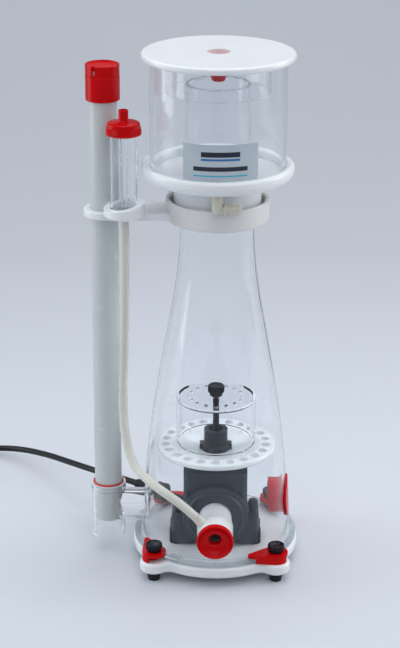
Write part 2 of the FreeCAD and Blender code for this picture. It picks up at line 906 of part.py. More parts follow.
def pump_cover():
    """Front cover with a raised ring and a three-armed spider that carries the shaft."""
    back = sheet.volute_front
    front = back + sheet.cover_thickness
    outline = [
        (sheet.sleeve_bore, back),
        (sheet.volute_radius, back),
        (sheet.volute_radius, front - 1),
        (sheet.volute_radius - 2.5, front),
        (sheet.volute_radius - 3.5, front),
        (sheet.volute_radius - 4.5, front + 1.6),
        (sheet.volute_radius - 6.5, front + 1.6),
        (sheet.volute_radius - 7.5, front),
        (sheet.sleeve_bore, front),
    ]
    disc = turned("cover_disc", outline)
    arms = [
        box(f"cover_arm_{turn}", (-1, 4, back), (1, sheet.sleeve_bore + 1, back + 3)) for turn in (0, 1, 2)
    ]
    for index, arm in enumerate(arms):
        spin = Placement(Vector(), Rotation(Vector(0, 0, 1), 120 * index))
        arm.Placement = spin.multiply(arm.Placement)
    hub = turned("cover_hub", [(3.5, back), (5, back), (5, back + 3), (3.5, back + 3)])
    cover = fuse("cover_whole", disc, hub, *arms)
    node("pump_cover", cover, (0, 0, sheet.pump_height), FORWARD)


def pump_motor():
    """Sealed can in one piece with the well that the rotor turns in."""
    front = sheet.volute_back
    back = sheet.motor_back
    can = [
        (sheet.motor_radius - 2.2, front + 3),
        (sheet.motor_radius, front + 3),
        (sheet.motor_radius, back - 4),
        (sheet.motor_radius - 4, back, sheet.motor_radius - 1.2, back - 1.2),
        (0, back),
        (0, back - 3),
        (sheet.motor_radius - 3.5, back - 3),
        (sheet.motor_radius - 2.2, back - 5),
    ]
    well = [
        (sheet.well_bore, front),
        (sheet.motor_radius, front),
        (sheet.motor_radius, front + 3),
        (sheet.well_radius, front + 3),
        (sheet.well_radius, sheet.well_back),
        (0, sheet.well_back),
        (0, sheet.well_back - 1.5),
        (sheet.well_bore, sheet.well_back - 1.5),
    ]
    whole = fuse("motor_whole", turned("motor_can", can), turned("motor_well", well))
    node("pump_motor", whole, (0, 0, sheet.pump_height), BACKWARD)


def pump_stator():
    front = sheet.volute_back + 4
    outline = [
        (sheet.well_radius, front),
        (sheet.motor_radius - 2.5, front),
        (sheet.motor_radius - 2.5, sheet.well_back - 2),
        (sheet.well_radius, sheet.well_back - 2),
    ]
    node("pump_stator", turned("stator", outline), (0, 0, sheet.pump_height), BACKWARD)


def impeller():
    """Needle wheel: a disc with two rings of pins on a hub that carries the magnet."""
    bore = sheet.shaft_radius + sheet.pin_clearance
    outline = [
        (bore, -sheet.volute_back - 2),
        (4, -sheet.volute_back - 2),
        (4, -5),
        (sheet.impeller_radius, -5),
        (sheet.impeller_radius, -2.5),
        (5, -2.5),
        (4, 28),
        (bore, 28),
    ]
    wheel = turned("impeller_wheel", outline)
    pins = []
    for circle, count in ((12.5, 8), (19.5, 12)):
        for index in range(count):
            angle = 2 * math.pi * index / count
            spot = (circle * math.cos(angle), circle * math.sin(angle), -3)
            pins.append(cylinder(f"pin_{count}_{index}", 1.2, 26, spot))
    wheel = fuse("impeller_whole", wheel, *pins)
    node("impeller", wheel, (0, 0, sheet.pump_height), FORWARD)


def rotor_magnet():
    bore = sheet.shaft_radius + sheet.pin_clearance
    front = sheet.volute_back + 2
    back = sheet.well_back - 4
    outline = [(bore, front), (sheet.magnet_radius, front), (sheet.magnet_radius, back), (bore, back)]
    node("rotor_magnet", turned("magnet", outline), (0, 0, sheet.pump_height), BACKWARD)


def impeller_shaft():
    length = sheet.volute_front + 2 + sheet.well_back - 2.2
    spot = (0, sheet.well_back - 2.2, sheet.pump_height)
    node("impeller_shaft", cylinder("shaft", sheet.shaft_radius, length), spot, FORWARD)


def shaft_bearings():
    """A bush in the cover's spider and one at the bottom of the rotor well."""
    front = turned(
        "front_bush",
        [
            (sheet.shaft_radius, sheet.volute_front),
            (3.5, sheet.volute_front),
            (3.5, sheet.volute_front + 3),
            (sheet.shaft_radius, sheet.volute_front + 3),
        ],
    )
    low = -sheet.well_back + 1.5
    rear = turned(
        "rear_bush",
        [(sheet.shaft_radius, low), (3.5, low), (3.5, low + 2), (sheet.shaft_radius, low + 2)],
    )
    node("shaft_bearings", group("bushes", front, rear), (0, 0, sheet.pump_height), FORWARD)


def bushings(use):
    """Four rubber posts that stand on the base and bulge from the legs' outer sides."""
    spots = [(x, y) for x in (-1, 1) for y in (sheet.leg_front + 8, sheet.leg_back - 8)]
    middle = sheet.leg_outer - 4
    return [
        cylinder(f"{use}_{i}", sheet.bushing_radius, sheet.bushing_height, (middle * x, y, base_top()))
        for i, (x, y) in enumerate(spots)
    ]


def pump_stand():
    """Two legs that cradle the volute, held just off the base by the rubber posts."""
    low = base_top() + 1.5
    legs = []
    for word, side in (("left", -1), ("right", 1)):
        xs = sorted((sheet.leg_inner * side, sheet.leg_outer * side), key=lambda size: size.value)
        leg = box(
            f"leg_{word}", (xs[0], sheet.leg_front, low), (xs[1], sheet.leg_back, sheet.leg_top)
        )
        legs.append(filleted(f"leg_round_{word}", leg, 6.0, is_upright))
    depth = sheet.volute_front + sheet.volute_back
    volute = cylinder(
        "stand_cradle", sheet.volute_radius, depth, (0, sheet.volute_back, sheet.pump_height), FORWARD
    )
    node("pump_stand", cut("stand_cut", group("stand_legs", *legs), volute, *bushings("bushing_space")))


def pump_bushings():
    node("pump_bushings", group("bushings", *bushings("bushing")))


def stand_screws():
    """Round-headed nylon screws on the legs' shoulders."""
    middle = sheet.leg_outer - 5.2
    outline = [(0, 0), (3, 0), (3, 4.5), (4.2, 5.5), (4.2, 13.5), (0, 13.5)]
    rims = [(4.2, 13.5, 2.6)]
    heads = [turned(f"stand_screw_{side}", outline, rims) for side in ("left", "right")]
    for side, head in zip((-1, 1), heads):
        place(head, (middle * side, -15, sheet.leg_top))
    node("stand_screws", group("stand_screw_pair", *heads))


# Intake


def intake_sleeve():
    back = sheet.volute_front + sheet.cover_thickness
    outline = [
        (sheet.sleeve_bore, back),
        (sheet.sleeve_radius, back),
        (sheet.sleeve_radius, sheet.intake_back + 8),
        (sheet.sleeve_bore, sheet.intake_back + 8),
    ]
    node("intake_sleeve", turned("sleeve", outline), (0, 0, sheet.pump_height), FORWARD)


def intake_tube():
    outline = [
        (sheet.sleeve_radius, sheet.intake_back),
        (sheet.intake_radius, sheet.intake_back),
        (sheet.intake_radius, sheet.intake_front),
        (sheet.intake_bore, sheet.intake_front),
        (sheet.intake_bore, sheet.intake_back + 8),
        (sheet.sleeve_radius, sheet.intake_back + 8),
    ]
    tube = turned("intake", outline)
    place(tube, (0, 0, sheet.pump_height), FORWARD)
    spot = (0, sheet.barb_y, sheet.pump_height)
    hole = cylinder("barb_hole", sheet.barb_radius, 30, spot, BARB_TILT)
    node("intake_tube", cut("intake_drilled", tube, hole))


def intake_nozzle():
    """Push-in funnel: its dish narrows to the inlet hole."""
    front = sheet.nozzle_front
    outline = [
        (sheet.nozzle_hole, sheet.intake_front - 8),
        (sheet.intake_bore, sheet.intake_front - 8),
        (sheet.intake_bore, sheet.intake_front),
        (sheet.intake_radius + 0.3, sheet.intake_front),
        (sheet.intake_radius + 0.3, front - 1),
        (sheet.intake_radius - 1, front, sheet.intake_radius - 0.1, front - 0.3),
        (sheet.nozzle_hole + 1, front - 6.2, sheet.nozzle_hole + 6.2, front - 4.0),
        (sheet.nozzle_hole, front - 7),
    ]
    node("intake_nozzle", turned("funnel", outline), (0, 0, sheet.pump_height), FORWARD)


def air_barb():
    low = sheet.intake_bore + 0.4
    outline = [
        (sheet.barb_bore, low),
        (sheet.barb_radius, low),
        (sheet.barb_radius, sheet.barb_reach),
        (sheet.barb_bore, sheet.barb_reach),
    ]
    node("air_barb", turned("barb", outline), (0, sheet.barb_y, sheet.pump_height), BARB_TILT)


# Bubble plate and diffuser


def bubble_plate():
    top = sheet.plate_top
    low = top - sheet.plate_thickness
    dish = sheet.plate_dish
    edge = sheet.plate_radius
    outline = [
        (sheet.duct_radius, low - dish),
        (15, low - dish),
        (sheet.plate_dish_radius, low),
        (edge, low),
        (edge, top),
        (sheet.plate_dish_radius, top),
        (15, top - dish),
        (sheet.duct_radius, top - dish),
    ]
    plate = turned("plate", outline, [(edge, low, 1.8), (edge, top, 1.8)])
    add_hole_ring(plate, "plate", sheet.plate_hole_radius, sheet.plate_hole_circle, PLATE_HOLES)
    node("bubble_plate", plate)


def outlet_union():
    """Screws into the pump's nozzle from above and clamps the bubble plate."""
    seat = sheet.plate_top - sheet.plate_dish
    low = seat - 11
    tube = turned(
        "union_tube",
        [
            (sheet.union_bore, low),
            (sheet.duct_radius - 0.1, low),
            (sheet.duct_radius - 0.1, seat),
            (sheet.union_flange_radius, seat),
            (sheet.union_flange_radius, seat + 4.5),
            (sheet.union_radius, seat + 6),
            (sheet.union_radius, sheet.union_top),
            (sheet.union_bore, sheet.union_top),
        ],
    )
    lugs = [
        box(f"union_lug_{i}", (11 * x - 3.8, -4, seat + 0.3), (11 * x + 3.8, 4, seat + 5.6))
        for i, x in enumerate((-1, 1))
    ]
    bar = box("union_bar", (-8, -1.4, seat + 4), (8, 1.4, seat + 8))
    hub = cylinder("union_hub", 4.6, 4, (0, 0, seat + 4))
    opening = cylinder("union_opening", sheet.union_bore, 40, (0, 0, low))
    spider = common("union_spider", fuse("union_bar_and_hub", bar, hub), opening)
    bodywork = cut("union_ring", fuse("union_ring_whole", tube, *lugs), opening)
    thread = cylinder("union_thread", sheet.screw_radius + sheet.pin_clearance, 20, (0, 0, seat))
    node("outlet_union", cut("union_drilled", fuse("union_whole", bodywork, spider), thread))


def diffuser_cap():
    outer = sheet.diffuser_radius
    inner = outer - sheet.diffuser_wall
    top = sheet.diffuser_top
    outline = [
        (inner, sheet.diffuser_low),
        (outer, sheet.diffuser_low),
        (outer, top),
        (sheet.screw_radius + 0.3, top),
        (sheet.screw_radius + 0.3, top - 3),
        (inner, top - 3),
    ]
    cap = turned("diffuser", outline, [(outer, top, 1.2)])
    feet = []
    for index in range(4):
        angle = math.pi / 4 + math.pi / 2 * index
        circle = (outer + inner) / 2
        spot = (circle * math.cos(angle), circle * math.sin(angle), sheet.diffuser_low - 3.1)
        feet.append(cylinder(f"diffuser_foot_{index}", 1.2, 4, spot))
    vents = []
    for index in range(16):
        angle = 2 * math.pi * index / 16
        spot = (24 * math.cos(angle), 24 * math.sin(angle), top - 4)
        vents.append(cylinder(f"diffuser_vent_{index}", 1.6, 6, spot))
    node("diffuser_cap", cut("diffuser_vented", fuse("diffuser_whole", cap, *feet), *vents))


def diffuser_screw():
    low = sheet.plate_top - sheet.plate_dish + 4
    seat = sheet.diffuser_top + sheet.gap
    outline = [
        (0, low),
        (sheet.screw_radius, low),
        (sheet.screw_radius, seat),
        (5.8, seat),
        (5.8, seat + 3),
        (sheet.screw_knob_radius, seat + 4),
        (sheet.screw_knob_radius, sheet.screw_top),
        (0, sheet.screw_top),
    ]
    node("diffuser_screw", turned("screw", outline, [(sheet.screw_knob_radius, sheet.screw_top, 1)]))


# Outlet and riser


def outlet_tee():
    """Clear upright socket, open below, with a branch from the body."""
    x = sheet.riser_x
    low = sheet.outlet_low
    length = sheet.outlet_top - low
    upright = cylinder("tee_upright", sheet.outlet_radius, length, (x, 0, low))
    rim_low = sheet.outlet_top - sheet.outlet_rim_height
    rim = cylinder("tee_rim", sheet.outlet_rim, sheet.outlet_rim_height, (x, 0, rim_low))
    reach = sheet.outlet_inner_x - x
    branch = cylinder("tee_branch", sheet.outlet_radius, reach, (x, 0, sheet.outlet_height), RIGHTWARD)
    bore_radius = sheet.riser_radius + sheet.gap
    bore = cylinder("tee_bore", bore_radius, length, (x, 0, low))
    way = cylinder("tee_way", sheet.outlet_bore, reach, (x, 0, sheet.outlet_height), RIGHTWARD)
    node("outlet_tee", cut("tee_hollow", fuse("tee_whole", upright, rim, branch), bore, way))


def outlet_oring():
    section = sheet.oring_section
    ring = sheet.riser_radius + section + 0.1
    spot = (sheet.riser_x, 0, sheet.outlet_top + section)
    node("outlet_oring", torus("outlet_seal", ring, section), spot)


def riser_pipe():
    outline = [
        (sheet.riser_bore, sheet.riser_low),
        (sheet.riser_radius, sheet.riser_low),
        (sheet.riser_radius, sheet.riser_top),
        (sheet.riser_bore, sheet.riser_top),
    ]
    pipe = turned("riser", outline)
    port = cylinder("riser_port", sheet.riser_port_radius, 30, (0, 0, sheet.outlet_height), RIGHTWARD)
    node("riser_pipe", cut("riser_drilled", pipe, port), (sheet.riser_x, 0, 0))


def riser_cap():
    """Vented cap: a skirt, a seam and a crown with a notch in its side."""
    outer = sheet.riser_cap_radius
    inner = sheet.riser_radius + sheet.gap
    seam = sheet.riser_cap_seam
    top = sheet.riser_cap_top
    outline = [
        (inner, sheet.riser_cap_low),
        (outer, sheet.riser_cap_low),
        (outer, seam - 0.5),
        (outer - 0.5, seam),
        (outer - 0.1, seam + 0.5),
        (outer - 0.1, top),
        (outer - 2.2, top),
        (outer - 3.0, top - 1.2),
        (0, top - 1.2),
        (0, sheet.riser_top + 0.4),
        (inner, sheet.riser_top + 0.4),
    ]
    rims = [(outer, sheet.riser_cap_low, 0.8), (outer - 0.1, top, 0.9)]
    cap = turned("riser_cap", outline, rims)
    notch = box("riser_notch", (11.8, -1.4, seam + 1), (20, 1.4, top + 1))
    turn = Placement(Vector(), Rotation(Vector(0, 0, 1), -118))
    notch.Placement = turn.multiply(notch.Placement)
    node("riser_cap", cut("riser_cap_notched", cap, notch), (sheet.riser_x, 0, 0))


def pipe_bracket():
    """Flat arm from the collar that ends in the ring round the riser."""
    low = sheet.bracket_low
    high = low + sheet.bracket_thickness
    half = sheet.bracket_half_width
    x = sheet.riser_x
    outline = [
        (x, -half),
        (-41, -half),
        (-41, half),
        (x, half),
        (x, -half, x - half, 0),
    ]
    arm = extruded("bracket_arm", outline, low, high)
    collar = cylinder("bracket_collar", sheet.collar_radius, sheet.bracket_thickness + 2, (0, 0, low - 1))
    ring_radius = sheet.riser_radius + sheet.gap
    ring = cylinder("bracket_ring", ring_radius, sheet.bracket_thickness + 2, (x, 0, low - 1))
    trimmed = cut("bracket_trimmed", arm, collar, ring)

    def side_edge(edge):
        at_level = is_level_at(edge, high.value) or is_level_at(edge, low.value)
        outside = abs(edge.BoundBox.YMax) > half.value - 0.01 or abs(edge.BoundBox.YMin) > half.value - 0.01
        return at_level and outside and edge.BoundBox.XMin < -50

    node("pipe_bracket", filleted("bracket_round", trimmed, sheet.bracket_edge, side_edge))


# Air silencer


def silencer_holder():
    """Thick socket on the bracket whose rim slopes up to the right and the back."""
    floor = sheet.holder_low + 3
    outline = [
        (2, sheet.holder_low - 4),
        (5, sheet.holder_low - 4),
        (5, sheet.holder_low),
        (sheet.holder_radius, sheet.holder_low),
        (sheet.holder_radius, sheet.holder_mean_top + 12),
        (sheet.silencer_radius, sheet.holder_mean_top + 12),
        (sheet.silencer_radius, floor),
        (2, floor),
    ]
    socket = turned("holder", outline, [(sheet.holder_radius, sheet.holder_low, 2.5)])
    above = box("holder_above", (-40, -40, 0), (40, 40, 40))
    tilt = Rotation(Vector(0, 1, 0), -10).multiply(Rotation(Vector(1, 0, 0), 4.5))
    shift = tilt.multVec(Vector(-40, -40, 0))
    place(above, (shift.x, shift.y, sheet.holder_mean_top + shift.z), tilt)
    trimmed = cut("holder_trimmed", socket, above)
    node("silencer_holder", trimmed, (sheet.silencer_x, sheet.silencer_y, 0))


def silencer_tube():
    inner = sheet.silencer_radius - sheet.silencer_wall
    low = sheet.holder_low + 3
    outline = [
        (inner, low),
        (sheet.silencer_radius, low),
        (sheet.silencer_radius, sheet.silencer_top),
        (inner, sheet.silencer_top),
    ]
    node("silencer_tube", turned("silencer", outline), (sheet.silencer_x, sheet.silencer_y, 0))


def silencer_cap():
    outer = sheet.silencer_cap_radius
    inner = sheet.silencer_radius + sheet.gap
    low = sheet.silencer_cap_low
    top = sheet.silencer_cap_top
    nipple = sheet.nipple_radius
    outline = [
        (inner, low),
        (outer, low),
        (outer, low + 5),
        (outer - 1.2, top - 1.6),
        (outer - 2.6, top),
        (nipple + 0.8, top + 0.6),
        (nipple, top + 2.5),
        (nipple, sheet.nipple_top),
        (nipple - 1.2, sheet.nipple_top),
        (nipple - 1.2, top - 1),
        (sheet.downtube_radius, top - 1),
        (sheet.downtube_radius, sheet.silencer_top + 0.5),
        (inner, sheet.silencer_top + 0.5),
    ]
    rims = [(outer, low, 0.8), (nipple, sheet.nipple_top, 0.5)]
    node("silencer_cap", turned("silencer_cap", outline, rims), (sheet.silencer_x, sheet.silencer_y, 0))


def silencer_downtube():
    """Clear tube that hangs from the cap and draws air from low in the silencer."""
    outer = sheet.downtube_radius
    inner = sheet.downtube_bore
    low = sheet.downtube_low
    top = sheet.silencer_cap_top - 1
    outline = [(inner, low), (outer, low), (outer, top), (inner, top)]
    node("silencer_downtube", turned("downtube", outline), (sheet.silencer_x, sheet.silencer_y, 0))


# Collection cup


def cup_floor():
    """White dish whose thick lip stands outside the cup's wall."""
    low = sheet.cup_floor_low
    top = sheet.cup_floor_top
    wide = sheet.cup_dish_radius
    lip = sheet.cup_lip_top
    outline = [
        (sheet.cup_neck_radius, low),
        (wide - 9.9, low),
        (wide, low + 7.5, wide - 2.6, low + 2.4),
        (wide, lip - 3.2),
        (wide - 3.4, lip, wide - 0.9, lip - 0.9),
        (wide - 4.4, lip),
        (sheet.cup_radius, lip - 2.6, sheet.cup_radius + 0.8, lip - 0.8),
        (sheet.cup_radius, top),
        (sheet.cup_neck_radius, top),
    ]
    dish = turned("cup_dish", outline)
    hole = cylinder("drain_hole", sheet.drain_radius, 30, (0, sheet.drain_y, low - 10))
    node("cup_floor", cut("cup_dish_drilled", dish, hole))


def cup_wall():
    inner = sheet.cup_radius - sheet.cup_wall
    outline = [
        (inner, sheet.cup_floor_top),
        (sheet.cup_radius, sheet.cup_floor_top),
        (sheet.cup_radius, sheet.cup_top),
        (inner, sheet.cup_top),
    ]
    node("cup_wall", turned("cup", outline))


def cup_neck():
    outer = sheet.cup_neck_radius
    inner = outer - sheet.cup_neck_wall
    low = sheet.neck_top + 0.7
    top = sheet.cup_neck_top
    outline = [(inner, low), (outer, low), (outer, top - 1.2), (outer - 1.2, top), (inner, top)]
    node("cup_neck", turned("inner_neck", outline))


def cup_neck_ring():
    """Socket below the cup: it slips over the body's neck and holds a seal in a groove."""
    slip = sheet.neck_radius + sheet.gap
    ledge = sheet.neck_top + sheet.gap
    outer = sheet.neck_ring_radius
    low = sheet.neck_ring_low
    outline = [
        (slip, low),
        (outer, low),
        (outer, sheet.cup_floor_low),
        (sheet.cup_neck_radius, sheet.cup_floor_low),
        (sheet.cup_neck_radius, ledge),
        (slip, ledge),
        (slip, low + 9),
        (slip + 3.1, low + 9),
        (slip + 3.1, low + 5.6),
        (slip, low + 5.6),
    ]
    node("cup_neck_ring", turned("neck_ring", outline, [(outer, low, 1.5)]))


def cup_oring():
    middle = sheet.neck_radius + sheet.gap + 1.55
    node("cup_oring", torus("cup_seal", middle, 1.5), (0, 0, sheet.neck_ring_low + 7.3))


def cup_label():
    """Blank curved label on the front of the cup."""
    height = sheet.label_top - sheet.label_low
    turn = Rotation(Vector(0, 0, 1), -90 - DIMENSIONS["label_angle"] / 2 + 2.5)
    spot = (0, 0, sheet.label_low)
    skin = cylinder("label_skin", sheet.cup_radius + 0.35, height, spot, turn, sheet.label_angle)
    cup = cylinder("label_cup", sheet.cup_radius + 0.05, height + 2, (0, 0, sheet.label_low - 1))
    node("cup_label", cut("label_cut", skin, cup))


def lid():
    low = sheet.lid_low
    top = sheet.lid_top
    seat = low - sheet.lid_boss / 2
    outline = [
        (sheet.lid_hole - 3, low - sheet.lid_boss),
        (sheet.lid_hole + 2, low - sheet.lid_boss),
        (sheet.lid_hole + 2, low),
        (sheet.lid_radius, low),
        (sheet.lid_radius, top),
        (sheet.lid_hole, top),
        (sheet.lid_hole, seat),
        (sheet.lid_hole - 3, seat),
    ]
    rims = [(sheet.lid_radius, low, sheet.lid_edge), (sheet.lid_radius, top, sheet.lid_edge)]
    node("lid", turned("lid", outline, rims))


def lid_ring():
    outer = sheet.lid_ring_radius
    low = sheet.lid_ring_low
    outline = [(outer - 2, low), (outer, low), (outer, sheet.lid_low), (outer - 2, sheet.lid_low)]
    node("lid_ring", turned("lid_ring", outline))


def lid_plug():
    low = sheet.lid_low - 19
    seat = sheet.lid_low - sheet.lid_boss / 2 + 0.3
    head = sheet.lid_hole - 0.3
    top = seat + 1.6
    outline = [
        (0, low),
        (head - 4.5, low),
        (head - 3.3, low + 2),
        (head - 3, seat),
        (head, seat),
        (head, top),
        (4, top),
        (3.2, top - 0.9),
        (0, top - 0.9),
    ]
    node("lid_plug", turned("bung", outline))


def drain_elbow():
    """Hose elbow below the cup, with its barb to the right."""
    radius = sheet.drain_radius
    y = sheet.drain_y
    height = sheet.drain_height
    stem = cylinder("elbow_stem", radius, sheet.cup_floor_top + 5 - height, (0, y, height))
    knee = doc.addObject("Part::Sphere", "elbow_knee")
    bind(knee, "Radius", radius)
    place(knee, (0, y, height))
    end = sheet.drain_barb_end
    barb = turned(
        "elbow_barb",
        [
            (0, 0),
            (3.6, 0),
            (3.6, 6),
            (6.0, 6),
            (6.0, 7.4),
            (sheet.drain_barb_radius, 7.4),
            (sheet.drain_barb_radius, end - 1.5),
            (sheet.drain_barb_radius - 0.8, end),
            (0, end),
        ],
    )
    place(barb, (0, y, height), RIGHTWARD)
    down = cylinder("elbow_down", 3.0, 40, (0, y, height))
    along = cylinder("elbow_along", 2.3, 40, (0, y, height), RIGHTWARD)
    node("drain_elbow", cut("elbow_hollow", fuse("elbow_whole", stem, knee, barb), down, along))


def drain_nut():
    prism = doc.addObject("Part::Prism", "drain_hexagon")
    prism.Polygon = 6
    bind(prism, "Circumradius", 6.2)
    bind(prism, "Height", 4.0)
    place(prism, (0, sheet.drain_y, sheet.cup_floor_top))
    hole = cylinder("drain_nut_hole", sheet.drain_radius, 30, (0, sheet.drain_y, sheet.cup_floor_top - 10))
    node("drain_nut", cut("drain_nut_cut", prism, hole))


# Cords and what is on them


def air_hose():
    node("air_hose", feature("hose_path", cord_tube("air_hose", HOSE_ROUTE, sheet.hose_radius.value)))


def power_cable():
    """The lead from the gland to the coil and from the coil to the plug, cut off at the coil."""
    radius = sheet.lead_radius.value
    lead = cord_tube("power_cable", LEAD_ROUTE, radius)
    tail = cord_tube("power_cable tail", TAIL_ROUTE, radius)
    coil = place(coil_ring("coil_space"), (*COIL_CENTRE, 0))
    node("power_cable", cut("lead_trimmed", feature("lead_path", lead, tail), coil))


def coil_half_width():
    return 4 * sheet.lead_radius + 0.3


def coil_ring(name):
    low = sheet.coil_low
    high = low + sheet.coil_height
    inner = sheet.coil_radius - coil_half_width()
    outer = sheet.coil_radius + coil_half_width()
    return turned(name, [(inner, low), (outer, low), (outer, high), (inner, high)])


def cable_coil():
    """The outer shape of seven turns of the lead in two layers."""
    node("cable_coil", coil_ring("coil"), (*COIL_CENTRE, 0))


def cable_tie():
    """Band round the coil's turns."""
    low = sheet.coil_low
    high = low + sheet.coil_height
    inner = sheet.coil_radius - coil_half_width()
    outer = sheet.coil_radius + coil_half_width() + 0.2
    band = box("tie_outer", (inner - 1.2, -3, low - 0.9), (outer + 0.9, 3, high + 0.9))
    space = box("tie_inner", (inner - 0.4, -4, low), (outer, 4, high))
    turn = Rotation(Vector(0, 0, 1), -20)
    node("cable_tie", cut("tie_band", band, space), (*COIL_CENTRE, 0), turn)


def plug_axis_height():
    return TAIL_ROUTE[-1][2]


def mains_plug():
    """Flat two-pin plug lying on the floor, its pins away from the lead."""
    outline = [(-8, -26), (8, -26), (17, -40), (17, -60), (-17, -60), (-17, -40)]
    low = sheet.plug_height_off_floor
    block = extruded("plug_block", outline, low, 2 * plug_axis_height() - low)
    block = filleted("plug_block_round", block, 3.0, is_upright)
    relief = turned(
        "plug_relief", [(0, 0), (sheet.lead_radius + 0.8, 0), (6.4, 24), (6.4, 30), (0, 30)]
    )
    place(relief, (0, 0, plug_axis_height()), FORWARD)
    pins = [
        cylinder(f"plug_pin_{i}", 2.0, 20, (x, -59, plug_axis_height()), FORWARD)
        for i, x in enumerate((-9.5, 9.5))
    ]
    node("mains_plug", fuse("plug_whole_body", block, relief, *pins), (*PLUG_START, 0))


# Build, check and export


def build():
    base_plate()
    rubber_feet()
    base_gasket()
    clip_studs()
    for word, signs in CORNERS.items():
        clip(word, *signs)
        knob(word, *signs)
    body_shell()
    neck_collar()
    side_plug()
    cable_gland()
    pump_volute()
    pump_cover()
    pump_motor()
    pump_stator()
    impeller()
    rotor_magnet()
    impeller_shaft()
    shaft_bearings()
    pump_stand()
    pump_bushings()
    stand_screws()
    intake_sleeve()
    intake_tube()
    intake_nozzle()
    air_barb()
    bubble_plate()
    outlet_union()
    diffuser_cap()
    diffuser_screw()
    outlet_tee()
    outlet_oring()
    riser_pipe()
    riser_cap()
    pipe_bracket()
    silencer_holder()
    silencer_tube()
    silencer_cap()
    silencer_downtube()
    cup_floor()
    cup_wall()
    cup_neck()
    cup_neck_ring()
    cup_oring()
    cup_label()
    lid()
    lid_ring()
    lid_plug()
    drain_elbow()
    drain_nut()
    air_hose()
    power_cable()
    cable_coil()
    cable_tie()
    mains_plug()


def check():
    """Every object has recomputed and every sub-part is a valid solid or group of solids."""
    for obj in doc.Objects:
        if {"Invalid", "Error"} & set(obj.State):
            raise RuntimeError(f"{obj.Label} did not recompute: {obj.State}")
    for obj in nodes:
        if obj.Shape.isNull() or not obj.Shape.isValid() or not obj.Shape.Solids:
            raise RuntimeError(f"{obj.Label} is not a valid solid")


def export():
    os.makedirs("parts", exist_ok=True)
    for obj in nodes:
        obj.Shape.exportStep(f"parts/{obj.Label}.step")


doc = FreeCAD.newDocument("ProteinSkimmer")
sheet = make_sheet()
nodes = []
build()
doc.recompute()
check()
export()
print(len(nodes), "sub-parts written")
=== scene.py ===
import math

import bmesh
import bpy
from mathutils import Matrix, Vector


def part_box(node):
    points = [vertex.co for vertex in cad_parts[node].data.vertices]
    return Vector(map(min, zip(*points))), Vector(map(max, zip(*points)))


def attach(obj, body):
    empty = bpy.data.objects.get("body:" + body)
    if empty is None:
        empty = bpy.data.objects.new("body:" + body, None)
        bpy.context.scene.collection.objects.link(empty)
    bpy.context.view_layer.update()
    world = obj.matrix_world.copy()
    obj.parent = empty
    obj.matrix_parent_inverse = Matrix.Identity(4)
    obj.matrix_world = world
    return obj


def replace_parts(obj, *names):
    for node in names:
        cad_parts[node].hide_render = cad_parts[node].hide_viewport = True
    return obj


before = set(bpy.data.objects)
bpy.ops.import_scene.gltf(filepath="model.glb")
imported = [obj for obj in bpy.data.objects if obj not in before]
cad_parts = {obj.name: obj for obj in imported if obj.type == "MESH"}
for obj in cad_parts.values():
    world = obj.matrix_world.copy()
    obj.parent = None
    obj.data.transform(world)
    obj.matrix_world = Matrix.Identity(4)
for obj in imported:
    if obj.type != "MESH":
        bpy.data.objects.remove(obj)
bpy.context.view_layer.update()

# A protein skimmer for an aquarium sump. Everything is in metres, in the frame's own axes.
# Places are read from the CAD nodes. AXIS is the reactor body's own axis.

MM = 0.001
AXIS = Vector((20.75, 5.35, 0.0)) * MM
LEAD_HEADING = 144.0  # degrees round from the right, where the pump's lead leaves the body
LEAD_HEIGHT = 40.0
BARB_ROOT = (0, -70.5, 50.5)
BARB_LEAN = -45.0  # degrees, towards the left
CORNERS = ("front_left", "front_right", "rear_right", "rear_left")


def at_axis(x, y, z):
    """A point given in millimetres about the body's axis."""
    return AXIS + Vector((x, y, z)) * MM


def extent(node):
    """A node's lowest and highest corners in millimetres."""
    return (Vector(corner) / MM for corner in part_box(node))


def foot(low, high):
    """The middle of a box's underside, in metres, from its corners in millimetres."""
    return Vector(((low.x + high.x) / 2, (low.y + high.y) / 2, low.z)) * MM


def set_range(node, start, end, low, high):
    """Makes a Map Range node turn start to end into low to high."""
    for key, level in (("From Min", start), ("From Max", end), ("To Min", low), ("To Max", high)):
        node.inputs[key].default_value = level


# Materials


